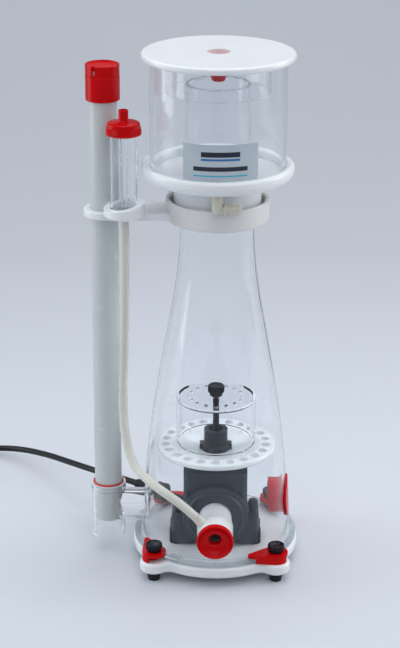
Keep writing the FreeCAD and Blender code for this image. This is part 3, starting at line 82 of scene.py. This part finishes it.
class Shader:
    """A material's node tree with a Principled shader, and short ways to add what feeds it."""

    def __init__(self, name, colour, roughness, **settings):
        self.material = bpy.data.materials.new(name)
        self.material.use_nodes = True
        self.tree = self.material.node_tree
        self.nodes = self.tree.nodes
        self.links = self.tree.links
        self.main = self.nodes["Principled BSDF"]
        self.output = self.nodes["Material Output"]
        self.main.inputs["Base Color"].default_value = (*colour, 1)
        self.main.inputs["Roughness"].default_value = roughness
        self.main.inputs["Subsurface Radius"].default_value = (1.0, 0.95, 0.9)
        self.main.inputs["Subsurface Scale"].default_value = 0.003
        for key, level in settings.items():
            self.main.inputs[key.replace("_", " ")].default_value = level
        self.place = self.add("ShaderNodeTexCoord").outputs["Object"]

    def add(self, kind, **inputs):
        node = self.nodes.new(kind)
        for key, level in inputs.items():
            node.inputs[key.replace("_", " ")].default_value = level
        return node

    def noise(self, scale, detail=3.0, roughness=0.5, stretch=None):
        texture = self.add("ShaderNodeTexNoise", Scale=scale, Detail=detail, Roughness=roughness)
        source = self.place
        if stretch:
            mapping = self.add("ShaderNodeMapping")
            mapping.inputs["Scale"].default_value = stretch
            self.links.new(source, mapping.inputs["Vector"])
            source = mapping.outputs["Vector"]
        self.links.new(source, texture.inputs["Vector"])
        return texture.outputs["Fac"]

    def ramp(self, source, stops):
        """Colours or grey levels along a 0 to 1 value."""
        node = self.add("ShaderNodeValToRGB")
        elements = node.color_ramp.elements
        while len(elements) < len(stops):
            elements.new(0.5)
        for element, (position, level) in zip(elements, stops):
            element.position = position
            element.color = (*level, 1) if isinstance(level, tuple) else (level, level, level, 1)
        self.links.new(source, node.inputs["Fac"])
        return node.outputs["Color"]

    def spread(self, source, low, high):
        """A noise's middle range stretched from low to high."""
        node = self.add("ShaderNodeMapRange")
        set_range(node, 0.3, 0.7, low, high)
        self.links.new(source, node.inputs["Value"])
        return node.outputs["Result"]

    def feed(self, socket, source):
        self.links.new(source, self.main.inputs[socket])

    def bump(self, source, strength, distance):
        node = self.add("ShaderNodeBump", Strength=strength, Distance=distance)
        self.links.new(source, node.inputs["Height"])
        if self.main.inputs["Normal"].is_linked:
            before = self.main.inputs["Normal"].links[0].from_socket
            self.links.new(before, node.inputs["Normal"])
        self.feed("Normal", node.outputs["Normal"])


def tint(colour, factor):
    return tuple(min(1.0, part * factor) for part in colour)


def moulded(name, colour, roughness, grain=900.0, depth=0.00002, variation=0.04, **settings):
    """Moulded plastic or rubber: faint mottling, uneven gloss and a fine surface grain."""
    shader = Shader(name, colour, roughness, **settings)
    cloud = shader.noise(38.0, 4.0)
    stops = [(0.3, tint(colour, 1 - variation)), (0.7, tint(colour, 1 + variation))]
    shader.feed("Base Color", shader.ramp(cloud, stops))
    handled = shader.noise(60.0, 3.0, 0.5)
    shader.feed("Roughness", shader.spread(handled, roughness * 0.9, min(1.0, roughness * 1.12)))
    shader.bump(shader.noise(grain, 2.0), 0.15, depth)
    return shader.material


def clear(name, colour, ior=1.33, roughness=0.01, through_share=1.0):
    """Clear acrylic. Light from lamps passes straight through it, as through a thin wall."""
    shader = Shader(name, colour, roughness, Transmission_Weight=through_share, IOR=ior)
    wipe = shader.noise(26.0, 6.0, 0.6, stretch=(1.0, 1.0, 0.35))
    shader.feed("Roughness", shader.spread(wipe, roughness * 0.5, roughness * 1.8))
    shader.bump(shader.noise(9.0, 1.0), 0.03, 0.0002)
    path = shader.add("ShaderNodeLightPath")
    through = shader.add("ShaderNodeBsdfTransparent")
    through.inputs["Color"].default_value = (0.93, 0.95, 0.97, 1)
    mix = shader.add("ShaderNodeMixShader")
    shader.links.new(path.outputs["Is Shadow Ray"], mix.inputs[0])
    shader.links.new(shader.main.outputs["BSDF"], mix.inputs[1])
    shader.links.new(through.outputs["BSDF"], mix.inputs[2])
    shader.links.new(mix.outputs["Shader"], shader.output.inputs["Surface"])
    return shader.material


def steel():
    shader = Shader("stainless_steel", (0.62, 0.62, 0.63), 0.28, Metallic=1.0)
    lines = shader.noise(900.0, 2.0, stretch=(1.0, 1.0, 0.03))
    shader.feed("Roughness", shader.spread(lines, 0.2, 0.4))
    shader.bump(lines, 0.15, 0.00002)
    return shader.material


def label_film():
    """Pale film label with plain bars in place of print."""
    shader = Shader("label_film", (0.6, 0.66, 0.72), 0.32)
    low, high = (Vector(corner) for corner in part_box("cup_label"))
    split = shader.add("ShaderNodeSeparateXYZ")
    shader.links.new(shader.place, split.inputs["Vector"])

    def band(axis, start, end):
        """1 between two shares of the label's width or height."""
        index = "XYZ".index(axis)
        length = high[index] - low[index]
        centre = low[index] + length * (start + end) / 2
        compare = shader.add("ShaderNodeMath")
        compare.operation = "COMPARE"
        compare.inputs[1].default_value = centre
        compare.inputs[2].default_value = length * (end - start) / 2
        shader.links.new(split.outputs[axis], compare.inputs[0])
        return compare.outputs["Value"]

    def both(first, second):
        node = shader.add("ShaderNodeMath")
        node.operation = "MULTIPLY"
        shader.links.new(first, node.inputs[0])
        shader.links.new(second, node.inputs[1])
        return node.outputs["Value"]

    mottled = shader.ramp(shader.noise(60.0), [(0.3, (0.46, 0.52, 0.57)), (0.7, (0.52, 0.58, 0.63))])
    bars = (
        ((0.24, 0.76), (0.66, 0.8), (0.012, 0.016, 0.035)),
        ((0.24, 0.76), (0.56, 0.62), (0.03, 0.16, 0.42)),
        ((0.14, 0.86), (0.28, 0.4), (0.02, 0.02, 0.04)),
        ((0.14, 0.86), (0.13, 0.17), (0.05, 0.42, 0.6)),
    )
    colour = mottled
    for across, up, ink in bars:
        mix = shader.add("ShaderNodeMix")
        mix.data_type = "RGBA"
        mix.inputs["B"].default_value = (*ink, 1)
        inside = both(band("X", *across), band("Z", *up))
        shader.links.new(inside, mix.inputs["Factor"])
        shader.links.new(colour, mix.inputs["A"])
        colour = mix.outputs["Result"]
    shader.feed("Base Color", colour)
    return shader.material


def make_materials():
    return {
        "white": moulded("white_plastic", (0.82, 0.84, 0.86), 0.22, variation=0.012),
        "pvc": moulded("white_pipe", (0.56, 0.595, 0.595), 0.25, variation=0.012),
        "milky": moulded(
            "milky_plastic", (0.74, 0.725, 0.71), 0.3, variation=0.02, Subsurface_Weight=0.2
        ),
        "clear": clear("clear_acrylic", (0.985, 0.992, 1.0)),
        "clear_thin": clear("thin_acrylic", (0.985, 0.992, 1.0), ior=1.2),
        "clear_end": clear("satin_acrylic_edge", (0.88, 0.92, 0.96), roughness=0.3, through_share=0.3),
        "red": moulded("red_plastic", (0.56, 0.001, 0.003), 0.2, variation=0.05, Specular_IOR_Level=0.12),
        "black": moulded(
            "black_plastic", (0.002, 0.004, 0.009), 0.26, variation=0.1, Specular_IOR_Level=0.28
        ),
        "pump": moulded(
            "pump_plastic", (0.022, 0.034, 0.050), 0.4, grain=1500.0, variation=0.08,
            Specular_IOR_Level=0.4,
        ),
        "union": moulded(
            "grey_plastic", (0.004, 0.009, 0.015), 0.34, variation=0.08, Specular_IOR_Level=0.3
        ),
        "rubber": moulded(
            "black_rubber", (0.006, 0.006, 0.008), 0.5, grain=1400.0, variation=0.12,
            Specular_IOR_Level=0.35,
        ),
        "gasket": moulded(
            "pale_silicone", (0.66, 0.70, 0.74), 0.38, variation=0.03, Subsurface_Weight=0.3
        ),
        "seal": moulded("red_rubber", (0.55, 0.015, 0.01), 0.4, variation=0.06),
        "hose": moulded(
            "silicone_hose", (0.66, 0.655, 0.59), 0.33, variation=0.03, Subsurface_Weight=0.25
        ),
        "steel": steel(),
        "ceramic": moulded("ceramic", (0.85, 0.85, 0.82), 0.12, variation=0.02),
        "magnet": moulded("ferrite", (0.03, 0.03, 0.032), 0.5, variation=0.1, Metallic=0.4),
        "windings": moulded("potted_windings", (0.12, 0.06, 0.03), 0.45, variation=0.2),
        "beige": moulded(
            "translucent_nylon", (0.62, 0.60, 0.50), 0.3, variation=0.04, Subsurface_Weight=0.4
        ),
        "lead": moulded("lead_sheath", (0.004, 0.006, 0.008), 0.36, variation=0.1, Specular_IOR_Level=0.3),
        "label": label_film(),
    }


NODE_LOOKS = {
    "white": (
        "base_plate", "intake_sleeve", "intake_tube", "air_barb", "bubble_plate", "pipe_bracket",
        "silencer_holder", "cup_floor", "cup_neck_ring", "lid", "drain_nut",
    ),
    "pvc": ("riser_pipe",),
    "milky": ("neck_collar",),
    "clear": (
        "body_shell", "outlet_tee", "cup_wall", "cup_neck", "lid_ring",
        "silencer_tube", "silencer_downtube",
    ),
    "clear_thin": ("diffuser_cap",),
    "red": ("side_plug", "intake_nozzle", "riser_cap", "lid_plug", "silencer_cap"),
    "black": ("diffuser_screw", "cable_gland", "cable_tie", "mains_plug"),
    "pump": ("pump_volute", "pump_cover", "pump_motor", "pump_stand", "stand_screws", "impeller"),
    "union": ("outlet_union",),
    "rubber": ("rubber_feet", "pump_bushings"),
    "gasket": ("base_gasket",),
    "seal": ("outlet_oring", "cup_oring"),
    "hose": ("air_hose",),
    "steel": ("clip_studs",),
    "ceramic": ("impeller_shaft", "shaft_bearings"),
    "magnet": ("rotor_magnet",),
    "windings": ("pump_stator",),
    "beige": ("drain_elbow",),
    "lead": ("power_cable", "cable_coil"),
    "label": ("cup_label",),
}


def dress_nodes():
    """Gives every CAD node its material."""
    looks = {node: look for look, names in NODE_LOOKS.items() for node in names}
    for corner in CORNERS:
        looks[f"cam_clip_{corner}"] = "red"
        looks[f"clip_knob_{corner}"] = "black"
    for node, look in looks.items():
        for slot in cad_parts[node].material_slots:
            slot.material = materials[look]


def satin_ends(mesh, depth, inner=0.0):
    """Machined edges of a clear mesh: faces this near its top or bottom, outside a radius."""
    mesh.materials.append(materials["clear_end"])
    last = len(mesh.materials) - 1
    spots = [vertex.co for vertex in mesh.vertices]
    low, high = (Vector(pick(spot[axis] for spot in spots) for axis in range(3)) for pick in (min, max))
    centre = (low + high) / 2
    for polygon in mesh.polygons:
        level = polygon.center.z
        is_end = level > high.z - depth * MM or level < low.z + depth * MM
        if is_end and (polygon.center.xy - centre.xy).length > inner * MM:
            polygon.material_index = last


def dress_clear_edges():
    """Satin ends for the clear nodes that stay: how deep, and outside which radius."""
    for node, depth, inner in (
        ("outlet_tee", 0.8, 0.0),
        ("body_shell", 0.8, 0.0),
        ("diffuser_cap", 1.6, 33.0),
    ):
        satin_ends(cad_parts[node].data, depth, inner)


# Pieces


def new_piece(name, mesh, look, body):
    """A smooth-shaded piece that rides on a body."""
    piece = bpy.data.objects.new(name, mesh)
    bpy.context.scene.collection.objects.link(piece)
    mesh.materials.append(materials[look])
    for polygon in mesh.polygons:
        polygon.use_smooth = True
    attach(piece, body)
    return piece


class Lathe:
    """A round mesh built from rings of points about an upright axis."""

    def __init__(self, segments):
        self.form = bmesh.new()
        self.segments = segments
        self.before = None

    def ring(self, radius, height, ripples=0, depth=0.0):
        """One ring in millimetres, with grooves of the given depth round it."""
        if radius == 0:
            points = [self.form.verts.new((0, 0, height * MM))]
        else:
            points = []
            for index in range(self.segments):
                angle = 2 * math.pi * index / self.segments
                reach = radius - depth * (0.5 - 0.5 * math.cos(ripples * angle)) if ripples else radius
                spot = (reach * math.cos(angle), reach * math.sin(angle), height)
                points.append(self.form.verts.new(Vector(spot) * MM))
        if self.before:
            self.join(self.before, points)
        self.before = points

    def join(self, lower, upper):
        count = self.segments
        for index in range(count):
            corners = [
                lower[index % len(lower)], lower[(index + 1) % count % len(lower)],
                upper[(index + 1) % count % len(upper)], upper[index % len(upper)],
            ]
            self.form.faces.new(list(dict.fromkeys(corners)))

    def mesh(self, name, centre=(0, 0, 0), turn=None):
        bmesh.ops.remove_doubles(self.form, verts=self.form.verts, dist=1e-7)
        bmesh.ops.recalc_face_normals(self.form, faces=self.form.faces)
        place = Matrix.Translation(centre)
        if turn:
            place = place @ turn.to_4x4()
        bmesh.ops.transform(self.form, matrix=place, verts=self.form.verts)
        mesh = bpy.data.meshes.new(name)
        self.form.to_mesh(mesh)
        self.form.free()
        return mesh


def crease(piece, angle=32.0):
    """Sharp edges stay sharp where two faces meet at more than the angle."""
    piece.data.set_sharp_from_angle(angle=math.radians(angle))
    return piece


def clear_tubes():
    """Round clear tubes with small polished chamfers on their machined ends."""
    chamfer = 0.3
    satin_share = 0.75  # of the top chamfer, which takes in the chamfer's own faces
    for node, wall, top_chamfer, body in (
        ("cup_wall", 3.0, chamfer, "cup"),
        ("cup_neck", 2.5, 1.2, "cup"),
        ("lid_ring", 2.0, chamfer, "lid"),
        ("silencer_tube", 1.9, chamfer, "stand"),
        ("silencer_downtube", 1.0, chamfer, "stand"),
    ):
        low, high = extent(node)
        outer = (high.x - low.x) / 2
        inner = outer - wall
        top = high.z - low.z
        lathe = Lathe(192)
        for radius, level in (
            (inner, 0), (outer - chamfer, 0), (outer, chamfer), (outer, top - top_chamfer),
            (outer - top_chamfer, top), (inner, top), (inner, 0),
        ):
            lathe.ring(radius, level)
        base = foot(low, high)
        piece = new_piece(f"{node}_turned", lathe.mesh(node, base), "clear", body)
        satin_ends(piece.data, top_chamfer * satin_share)
        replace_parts(crease(piece), node)


def thumb_nuts():
    """Dished thumb nuts with a grooved grip, over the clips' studs."""
    for corner in CORNERS:
        node = f"clip_knob_{corner}"
        low, high = extent(node)
        top = high.z - low.z
        lathe = Lathe(160)
        for radius, height in ((2.6, 0.4), (2.6, 0), (6.2, 0), (6.6, 0.4), (6.6, 2.6)):
            lathe.ring(radius, height)
        for radius, height, depth in (
            (7.2, 3.2, 0), (7.5, 3.5, 0.35), (7.6, 3.9, 0.5), (7.6, top - 0.9, 0.5), (7.35, top - 0.3, 0.3)
        ):
            lathe.ring(radius, height, 32, depth)
        for radius, height in ((6.9, top), (6.1, top), (5.5, top - 0.3), (4.8, top - 1.0), (0, top - 1.25)):
            lathe.ring(radius, height)
        base = foot(low, high)
        piece = new_piece(f"thumb_nut_{corner}", lathe.mesh(node, base), "black", f"knob_{corner}")
        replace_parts(crease(piece), node)


def diffuser_thumbscrew():
    """Long thumbscrew with a grooved head and a fine thread at its foot."""
    low, high = extent("diffuser_screw")
    length = high.z - low.z
    head = length - 7.0
    lathe = Lathe(160)
    lathe.ring(0, 0)
    lathe.ring(2.3, 0)
    height = 0.4
    while height < 14:
        lathe.ring(2.85, height)
        lathe.ring(2.45, height + 0.45)
        height += 0.9
    for radius, level in ((2.8, height), (2.8, head - 3.3), (5.4, head - 3.2), (5.8, head - 2.9)):
        lathe.ring(radius, level)
    for radius, level in ((5.8, head - 0.6), (6.6, head)):
        lathe.ring(radius, level)
    for radius, level, depth in (
        (7.3, head + 0.3, 0.3), (7.6, head + 0.8, 0.5), (7.6, length - 1.2, 0.5), (7.2, length - 0.4, 0.3)
    ):
        lathe.ring(radius, level, 28, depth)
    for radius, level in ((6.6, length), (5.2, length), (4.6, length - 0.7), (0, length - 0.8)):
        lathe.ring(radius, level)
    base = foot(low, high)
    piece = new_piece("thumbscrew", lathe.mesh("thumbscrew", base), "black", "diffuser_screw")
    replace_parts(crease(piece), "diffuser_screw")


def ribbed_cap():
    """Silencer cap with a fine grip round its skirt and a nipple on top."""
    low, high = extent("silencer_cap")
    height = high.z - low.z
    crown = height - 10.5
    lathe = Lathe(360)
    for radius, level in ((3.45, 2.9), (12.7, 2.9), (12.7, 0), (14.6, 0)):
        lathe.ring(radius, level)
    for radius, level, depth in ((15.2, 0.3, 0), (15.4, 0.9, 0.3), (15.3, 4.4, 0.35), (14.9, 6.3, 0.3)):
        lathe.ring(radius, level, 60, depth)
    for radius, level in (
        (14.3, 6.5), (14.3, crown - 1.9), (13.9, crown - 0.9), (12.9, crown - 0.3), (11.6, crown),
        (7.4, crown + 0.2), (6.9, crown + 0.9), (4.9, crown + 1.1), (4.4, crown + 1.9), (4.3, crown + 2.9),
        (4.3, height - 0.5), (3.9, height), (3.1, height), (2.9, height - 0.4), (2.9, crown), (3.45, 9.9),
        (3.45, 2.9),
    ):
        lathe.ring(radius, level)
    base = foot(low, high)
    piece = new_piece("ribbed_cap", lathe.mesh("ribbed_cap", base), "red", "silencer_cap")
    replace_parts(crease(piece), "silencer_cap")


def gland_relief():
    """Ribbed strain relief over the gland's taper."""
    start, end = 72.6, 93.8
    bore = 3.2
    steps = 9
    widest, taper = 6.25, 2.1
    lathe = Lathe(64)
    lathe.ring(bore, start)
    for index in range(steps):
        share = index / steps
        level = start + (end - start) * share
        radius = widest - taper * share
        lathe.ring(radius, level)
        lathe.ring(radius, level + 1.4)
        lathe.ring(radius - 0.75, level + 1.6)
        lathe.ring(radius - 0.8, level + 2.2)
    lathe.ring(bore, end)
    lathe.ring(bore, start)
    turn = Matrix.Rotation(math.radians(LEAD_HEADING), 3, "Z") @ Matrix.Rotation(math.pi / 2, 3, "Y")
    centre = at_axis(0, 0, LEAD_HEIGHT)
    piece = new_piece(
        "gland_relief", lathe.mesh("gland_relief", centre, turn), "lead", "stand"
    )
    crease(piece)


def hose_cuff():
    """The hose's end, stretched over the barb of the intake tube."""
    lathe = Lathe(64)
    for radius, level in (
        (3.95, 14.9), (4.7, 15.0), (4.9, 15.5), (4.85, 18.5), (4.5, 19.8), (4.6, 20.6), (4.15, 22.6),
        (4.02, 25.5), (3.9, 25.6), (3.95, 14.9),
    ):
        lathe.ring(radius, level)
    turn = Matrix.Rotation(math.radians(BARB_LEAN), 3, "Y")
    mesh = lathe.mesh("hose_cuff", at_axis(*BARB_ROOT), turn)
    piece = new_piece("hose_cuff", mesh, "hose", "stand")
    crease(piece, 60)


def plug_pieces():
    """Two-pin plug: a rounded body with a grip, a ribbed sleeve and two metal pins."""
    low, high = extent("mains_plug")
    axis_height = (low.z + high.z) / 2
    start = Vector(((low.x + high.x) / 2, high.y - 3.0, axis_height))
    body = bmesh.new()
    outline = (
        (-7.5, -25), (7.5, -25), (11.5, -31), (16.6, -41),
        (16.8, -60), (-16.8, -60), (-16.6, -41), (-11.5, -31),
    )
    waist = -43  # each row shrinks towards this line
    half = (high.z - low.z) / 2
    rows = []
    for share, level in ((0.86, -1.0), (1.0, -0.72), (1.0, 0.72), (0.86, 1.0)):
        rows.append([
            body.verts.new((start + Vector((x * share, waist + (y - waist) * share, level * half))) * MM)
            for x, y in outline
        ])
    for before, after in zip(rows, rows[1:]):
        for index in range(len(outline)):
            following = (index + 1) % len(outline)
            body.faces.new((before[index], before[following], after[following], after[index]))
    body.faces.new(rows[0][::-1])
    body.faces.new(rows[-1])
    bmesh.ops.recalc_face_normals(body, faces=body.faces)
    mesh = bpy.data.meshes.new("plug_body")
    body.to_mesh(mesh)
    body.free()
    piece = new_piece("plug_body", mesh, "black", "stand")
    bevel = piece.modifiers.new("round", "BEVEL")
    bevel.width = 1.4 * MM
    bevel.segments = 4
    crease(piece, 40)
    sleeve = Lathe(48)
    sleeve.ring(0, 0)
    ribs, pitch, widening = 8, 3.0, 0.33
    for index in range(ribs):
        level = 0.4 + index * pitch
        radius = 3.7 + index * widening
        sleeve.ring(radius, level)
        sleeve.ring(radius + 0.2, level + 1.8)
        sleeve.ring(radius - 0.6, level + 2.1)
        sleeve.ring(radius - 0.6, level + 2.8)
    sleeve.ring(6.2, 25.0)
    sleeve.ring(6.2, 30.0)
    sleeve.ring(0, 30.0)
    turn = Matrix.Rotation(math.pi / 2, 3, "X")
    mesh = sleeve.mesh("plug_sleeve", start * MM, turn)
    relief = new_piece("plug_sleeve", mesh, "black", "stand")
    crease(relief)
    pins = [relief]
    pin_offset = 9.5
    for side in (-1, 1):
        pin = Lathe(32)
        for radius, level in ((0, 58), (2.0, 58), (2.0, 77.6), (1.4, 78.8), (0, 79)):
            pin.ring(radius, level)
        base = start + Vector((pin_offset * side, 0, 0))
        name = "plug_pin_left" if side < 0 else "plug_pin_right"
        pins.append(crease(new_piece(name, pin.mesh(name, base * MM, turn), "steel", "stand")))
    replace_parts(piece, "mains_plug")
    return [piece, *pins]


# Cords

HOSE_ROUTE = (
    (-80.5, -25.5, 331.5),
    (-80.6, -25.3, 290.0),
    (-81.1, -22.0, 245.0),
    (-82.7, -16.0, 201.0),
    (-84.4, -15.0, 160.0),
    (-82.9, -22.0, 128.0),
    (-75.5, -36.5, 103.5),
    (-60.0, -55.0, 95.5),
    (-46.0, -66.2, 90.2),
    (-28.6, -70.5, 79.1),
    (-13.8, -70.5, 64.3),
)
LEAD_ROUTE = (
    (-76.05, 55.25, 40.0),
    (-96.0, 69.6, 39.6),
    (-120.5, 89.5, 37.0),
    (-147.0, 123.5, 29.5),
    (-174.0, 162.0, 19.8),
    (-206.0, 195.0, 10.5),
    (-238.0, 206.0, 5.6),
    (-269.0, 207.5, 4.3),
    (-298.0, 204.1, 4.1),
)
TAIL_ROUTE = (
    (-333.6, 162.0, 9.4),
    (-334.6, 142.0, 9.1),
    (-335.0, 122.0, 8.4),
)
LEAD_DIAMETER = 6.0
HOSE_DIAMETER = 8.0
COIL_CENTRE = (-294.5, 162.0)
COIL_TRACKS = (  # radius and height of each turn, in the order in which it is wound
    (42.2, 4.1), (36.1, 4.1), (30.0, 4.1), (23.9, 4.1), (27.0, 9.4), (33.0, 9.4), (39.1, 9.4),
)
COIL_START = 94.8
COIL_END = 180.0 + 6 * 360.0
TURN_POINTS = 16
STEP_START = 0.35  # where in its turn the lead begins to move over to the next track
STEP_LENGTH = 0.3


def coil_route():
    """Seven turns, each on its own track, with a short step over to the next."""
    count = round((COIL_END - COIL_START) / 360 * TURN_POINTS)
    points = []
    for index in range(1, count):
        share = index / count
        angle = math.radians(COIL_START + (COIL_END - COIL_START) * share)
        position = share * len(COIL_TRACKS) - 0.5
        track = min(max(int(position), 0), len(COIL_TRACKS) - 2)
        step = min(max((position - track - STEP_START) / STEP_LENGTH, 0.0), 1.0)
        (radius, height), (next_radius, next_height) = COIL_TRACKS[track], COIL_TRACKS[track + 1]
        ring = radius + (next_radius - radius) * step
        level = height + (next_height - height) * step
        points.append(
            (COIL_CENTRE[0] + ring * math.cos(angle), COIL_CENTRE[1] + ring * math.sin(angle), level)
        )
    return tuple(points)


def cord_curve(name, route, diameter, look, body):
    """A round cord on one smooth spline."""
    curve = bpy.data.curves.new(name, "CURVE")
    curve.dimensions = "3D"
    curve.bevel_depth = diameter / 2 * MM
    curve.bevel_resolution = 6
    curve.resolution_u = 8
    curve.use_fill_caps = True
    spline = curve.splines.new("NURBS")
    spline.points.add(len(route) - 1)
    for point, place in zip(spline.points, route):
        point.co = (*at_axis(*place), 1)
    spline.order_u = 3
    spline.use_endpoint_u = True
    piece = bpy.data.objects.new(name, curve)
    bpy.context.scene.collection.objects.link(piece)
    curve.materials.append(materials[look])
    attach(piece, body)
    return piece


def spline_length(piece):
    """Length of a cord's line, read from the curve without its thickness."""
    bare = piece.copy()
    bare.data = piece.data.copy()
    bare.data.bevel_depth = 0
    line = bpy.data.meshes.new_from_object(bare)
    places = [vertex.co.copy() for vertex in line.vertices]
    bpy.data.objects.remove(bare)
    return sum((b - a).length for a, b in zip(places, places[1:]))


def make_cords():
    hose = cord_curve("hose_line", HOSE_ROUTE, HOSE_DIAMETER, "hose", "stand")
    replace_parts(hose, "air_hose")
    spline_length(hose)
    route = LEAD_ROUTE[:-1] + coil_route() + TAIL_ROUTE
    lead = cord_curve("lead_line", route, LEAD_DIAMETER, "lead", "stand")
    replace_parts(lead, "power_cable", "cable_coil")
    spline_length(lead)
    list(plug_pieces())


# Stage, lights and camera


def make_stage():
    """A wide pale floor that sweeps up far behind it, with painted shade: its colour is darker away from
    the object, standing in for the lamps' light falling off.
    """
    mesh = bpy.data.meshes.new("sweep")
    form = bmesh.new()
    half_width = 9.0
    bend = 2.5
    wall_y = 9.0
    steps = 16
    profile = [(-wall_y, 0.0), (wall_y - bend, 0.0)]
    for index in range(1, steps + 1):
        angle = math.pi / 2 * index / steps
        profile.append((wall_y - bend + bend * math.sin(angle), bend - bend * math.cos(angle)))
    profile.append((wall_y, 6.0))
    rows = [[form.verts.new((x, y, z)) for x in (-half_width, half_width)] for y, z in profile]
    for before, after in zip(rows, rows[1:]):
        face = form.faces.new((before[0], before[1], after[1], after[0]))
        face.smooth = True
    form.to_mesh(mesh)
    form.free()
    sweep = bpy.data.objects.new("sweep", mesh)
    bpy.context.scene.collection.objects.link(sweep)
    paper = (0.58, 0.605, 0.655)
    painted_falloff_share = 0.78  # painted shade: the paper's share of brightness away from the object, a painted fall-off of the lamps' light
    shader = Shader("paper_sweep", paper, 0.75)
    distance = shader.add("ShaderNodeVectorMath")
    distance.operation = "LENGTH"
    shader.links.new(shader.place, distance.inputs[0])
    painted_falloff_ramp = shader.add("ShaderNodeMapRange")
    set_range(painted_falloff_ramp, 0.2, 0.9, 0.0, 1.0)
    shader.links.new(distance.outputs["Value"], painted_falloff_ramp.inputs["Value"])
    # painted shade: full paper colour near the object, darkened further out as a painted light fall-off
    stops = [(0.0, paper), (1.0, tint(paper, painted_falloff_share))]
    shader.feed("Base Color", shader.ramp(painted_falloff_ramp.outputs["Result"], stops))
    shader.feed("Roughness", shader.spread(shader.noise(1.6, 2.0), 0.7, 0.8))
    mesh.materials.append(shader.material)


def area_light(name, place, aim, size, power, colour=(1, 1, 1)):
    data = bpy.data.lights.new(name, "AREA")
    data.shape = "RECTANGLE"
    data.size, data.size_y = size
    data.energy = power
    data.color = colour
    light = bpy.data.objects.new(name, data)
    bpy.context.scene.collection.objects.link(light)
    light.location = place
    direction = Vector(aim) - Vector(place)
    light.rotation_euler = direction.to_track_quat("-Z", "Y").to_euler()


def make_world():
    """Soft light that is strong from above, fair from the back and weak from the front."""
    world = bpy.data.worlds.new("studio")
    bpy.context.scene.world = world
    world.use_nodes = True
    tree = world.node_tree
    background = tree.nodes["Background"]
    background.inputs["Color"].default_value = (0.90, 0.945, 1.0, 1)
    place = tree.nodes.new("ShaderNodeTexCoord")
    split = tree.nodes.new("ShaderNodeSeparateXYZ")
    tree.links.new(place.outputs["Generated"], split.inputs["Vector"])

    def share(axis, start, end, low, high):
        node = tree.nodes.new("ShaderNodeMapRange")
        node.interpolation_type = "SMOOTHSTEP"
        set_range(node, start, end, low, high)
        tree.links.new(split.outputs[axis], node.inputs["Value"])
        return node.outputs["Result"]

    total = tree.nodes.new("ShaderNodeMath")
    total.operation = "ADD"
    tree.links.new(share("Y", -0.9, 0.3, 0.2, 0.52), total.inputs[0])
    tree.links.new(share("Z", 0.0, 0.9, 0.0, 0.45), total.inputs[1])
    tree.links.new(total.outputs["Value"], background.inputs["Strength"])


def make_lights():
    make_world()
    pale_blue = (0.94, 0.97, 1.0)
    area_light("overhead", (0.1, 0.1, 1.6), (0, 0.05, 0.2), (1.6, 1.2), 5.5, pale_blue)
    area_light("front_panel", (0.1, -1.3, 1.3), (0, 0, 0.25), (1.3, 0.8), 4.5, pale_blue)
    area_light("left_panel", (-1.5, 0.1, 0.6), (0, 0, 0.25), (0.8, 1.3), 9.0, pale_blue)
    area_light("right_panel", (1.5, 0.3, 0.7), (0, 0, 0.25), (0.7, 1.2), 9.0)
    area_light("backdrop_light", (0.0, 2.8, 2.4), (0, 2.9, 0), (3.0, 1.2), 26.0, pale_blue)


EYE = (0, -1541.14, 820.21)


def make_camera():
    """Looks at the front from slightly above, with a long lens."""
    data = bpy.data.cameras.new("camera")
    data.sensor_fit = "VERTICAL"
    data.sensor_height = 36.0
    data.lens = 101.96
    data.clip_end = 20.0
    camera = bpy.data.objects.new("camera", data)
    bpy.context.scene.collection.objects.link(camera)
    down, left, roll = (math.radians(angle) for angle in (21.08, 0.557, 0.2275))
    facing = (
        Matrix.Rotation(left, 3, "Z")
        @ Matrix.Rotation(math.pi / 2 - down, 3, "X")
        @ Matrix.Rotation(roll, 3, "Z")
    )
    camera.matrix_world = Matrix.Translation(at_axis(*EYE)) @ facing.to_4x4()
    bpy.context.scene.camera = camera


def allow_clear_layers():
    """Lets light pass all the clear walls that stand behind each other."""
    layers = 28
    cycles = bpy.context.scene.cycles
    cycles.max_bounces = layers
    cycles.transmission_bounces = layers
    cycles.transparent_max_bounces = layers + 4


materials = make_materials()
make_camera()
make_cords()
dress_nodes()
dress_clear_edges()
clear_tubes()
thumb_nuts()
diffuser_thumbscrew()
ribbed_cap()
gland_relief()
hose_cuff()
make_stage()
make_lights()
allow_clear_layers()
bpy.context.scene.view_settings.view_transform = "Standard"
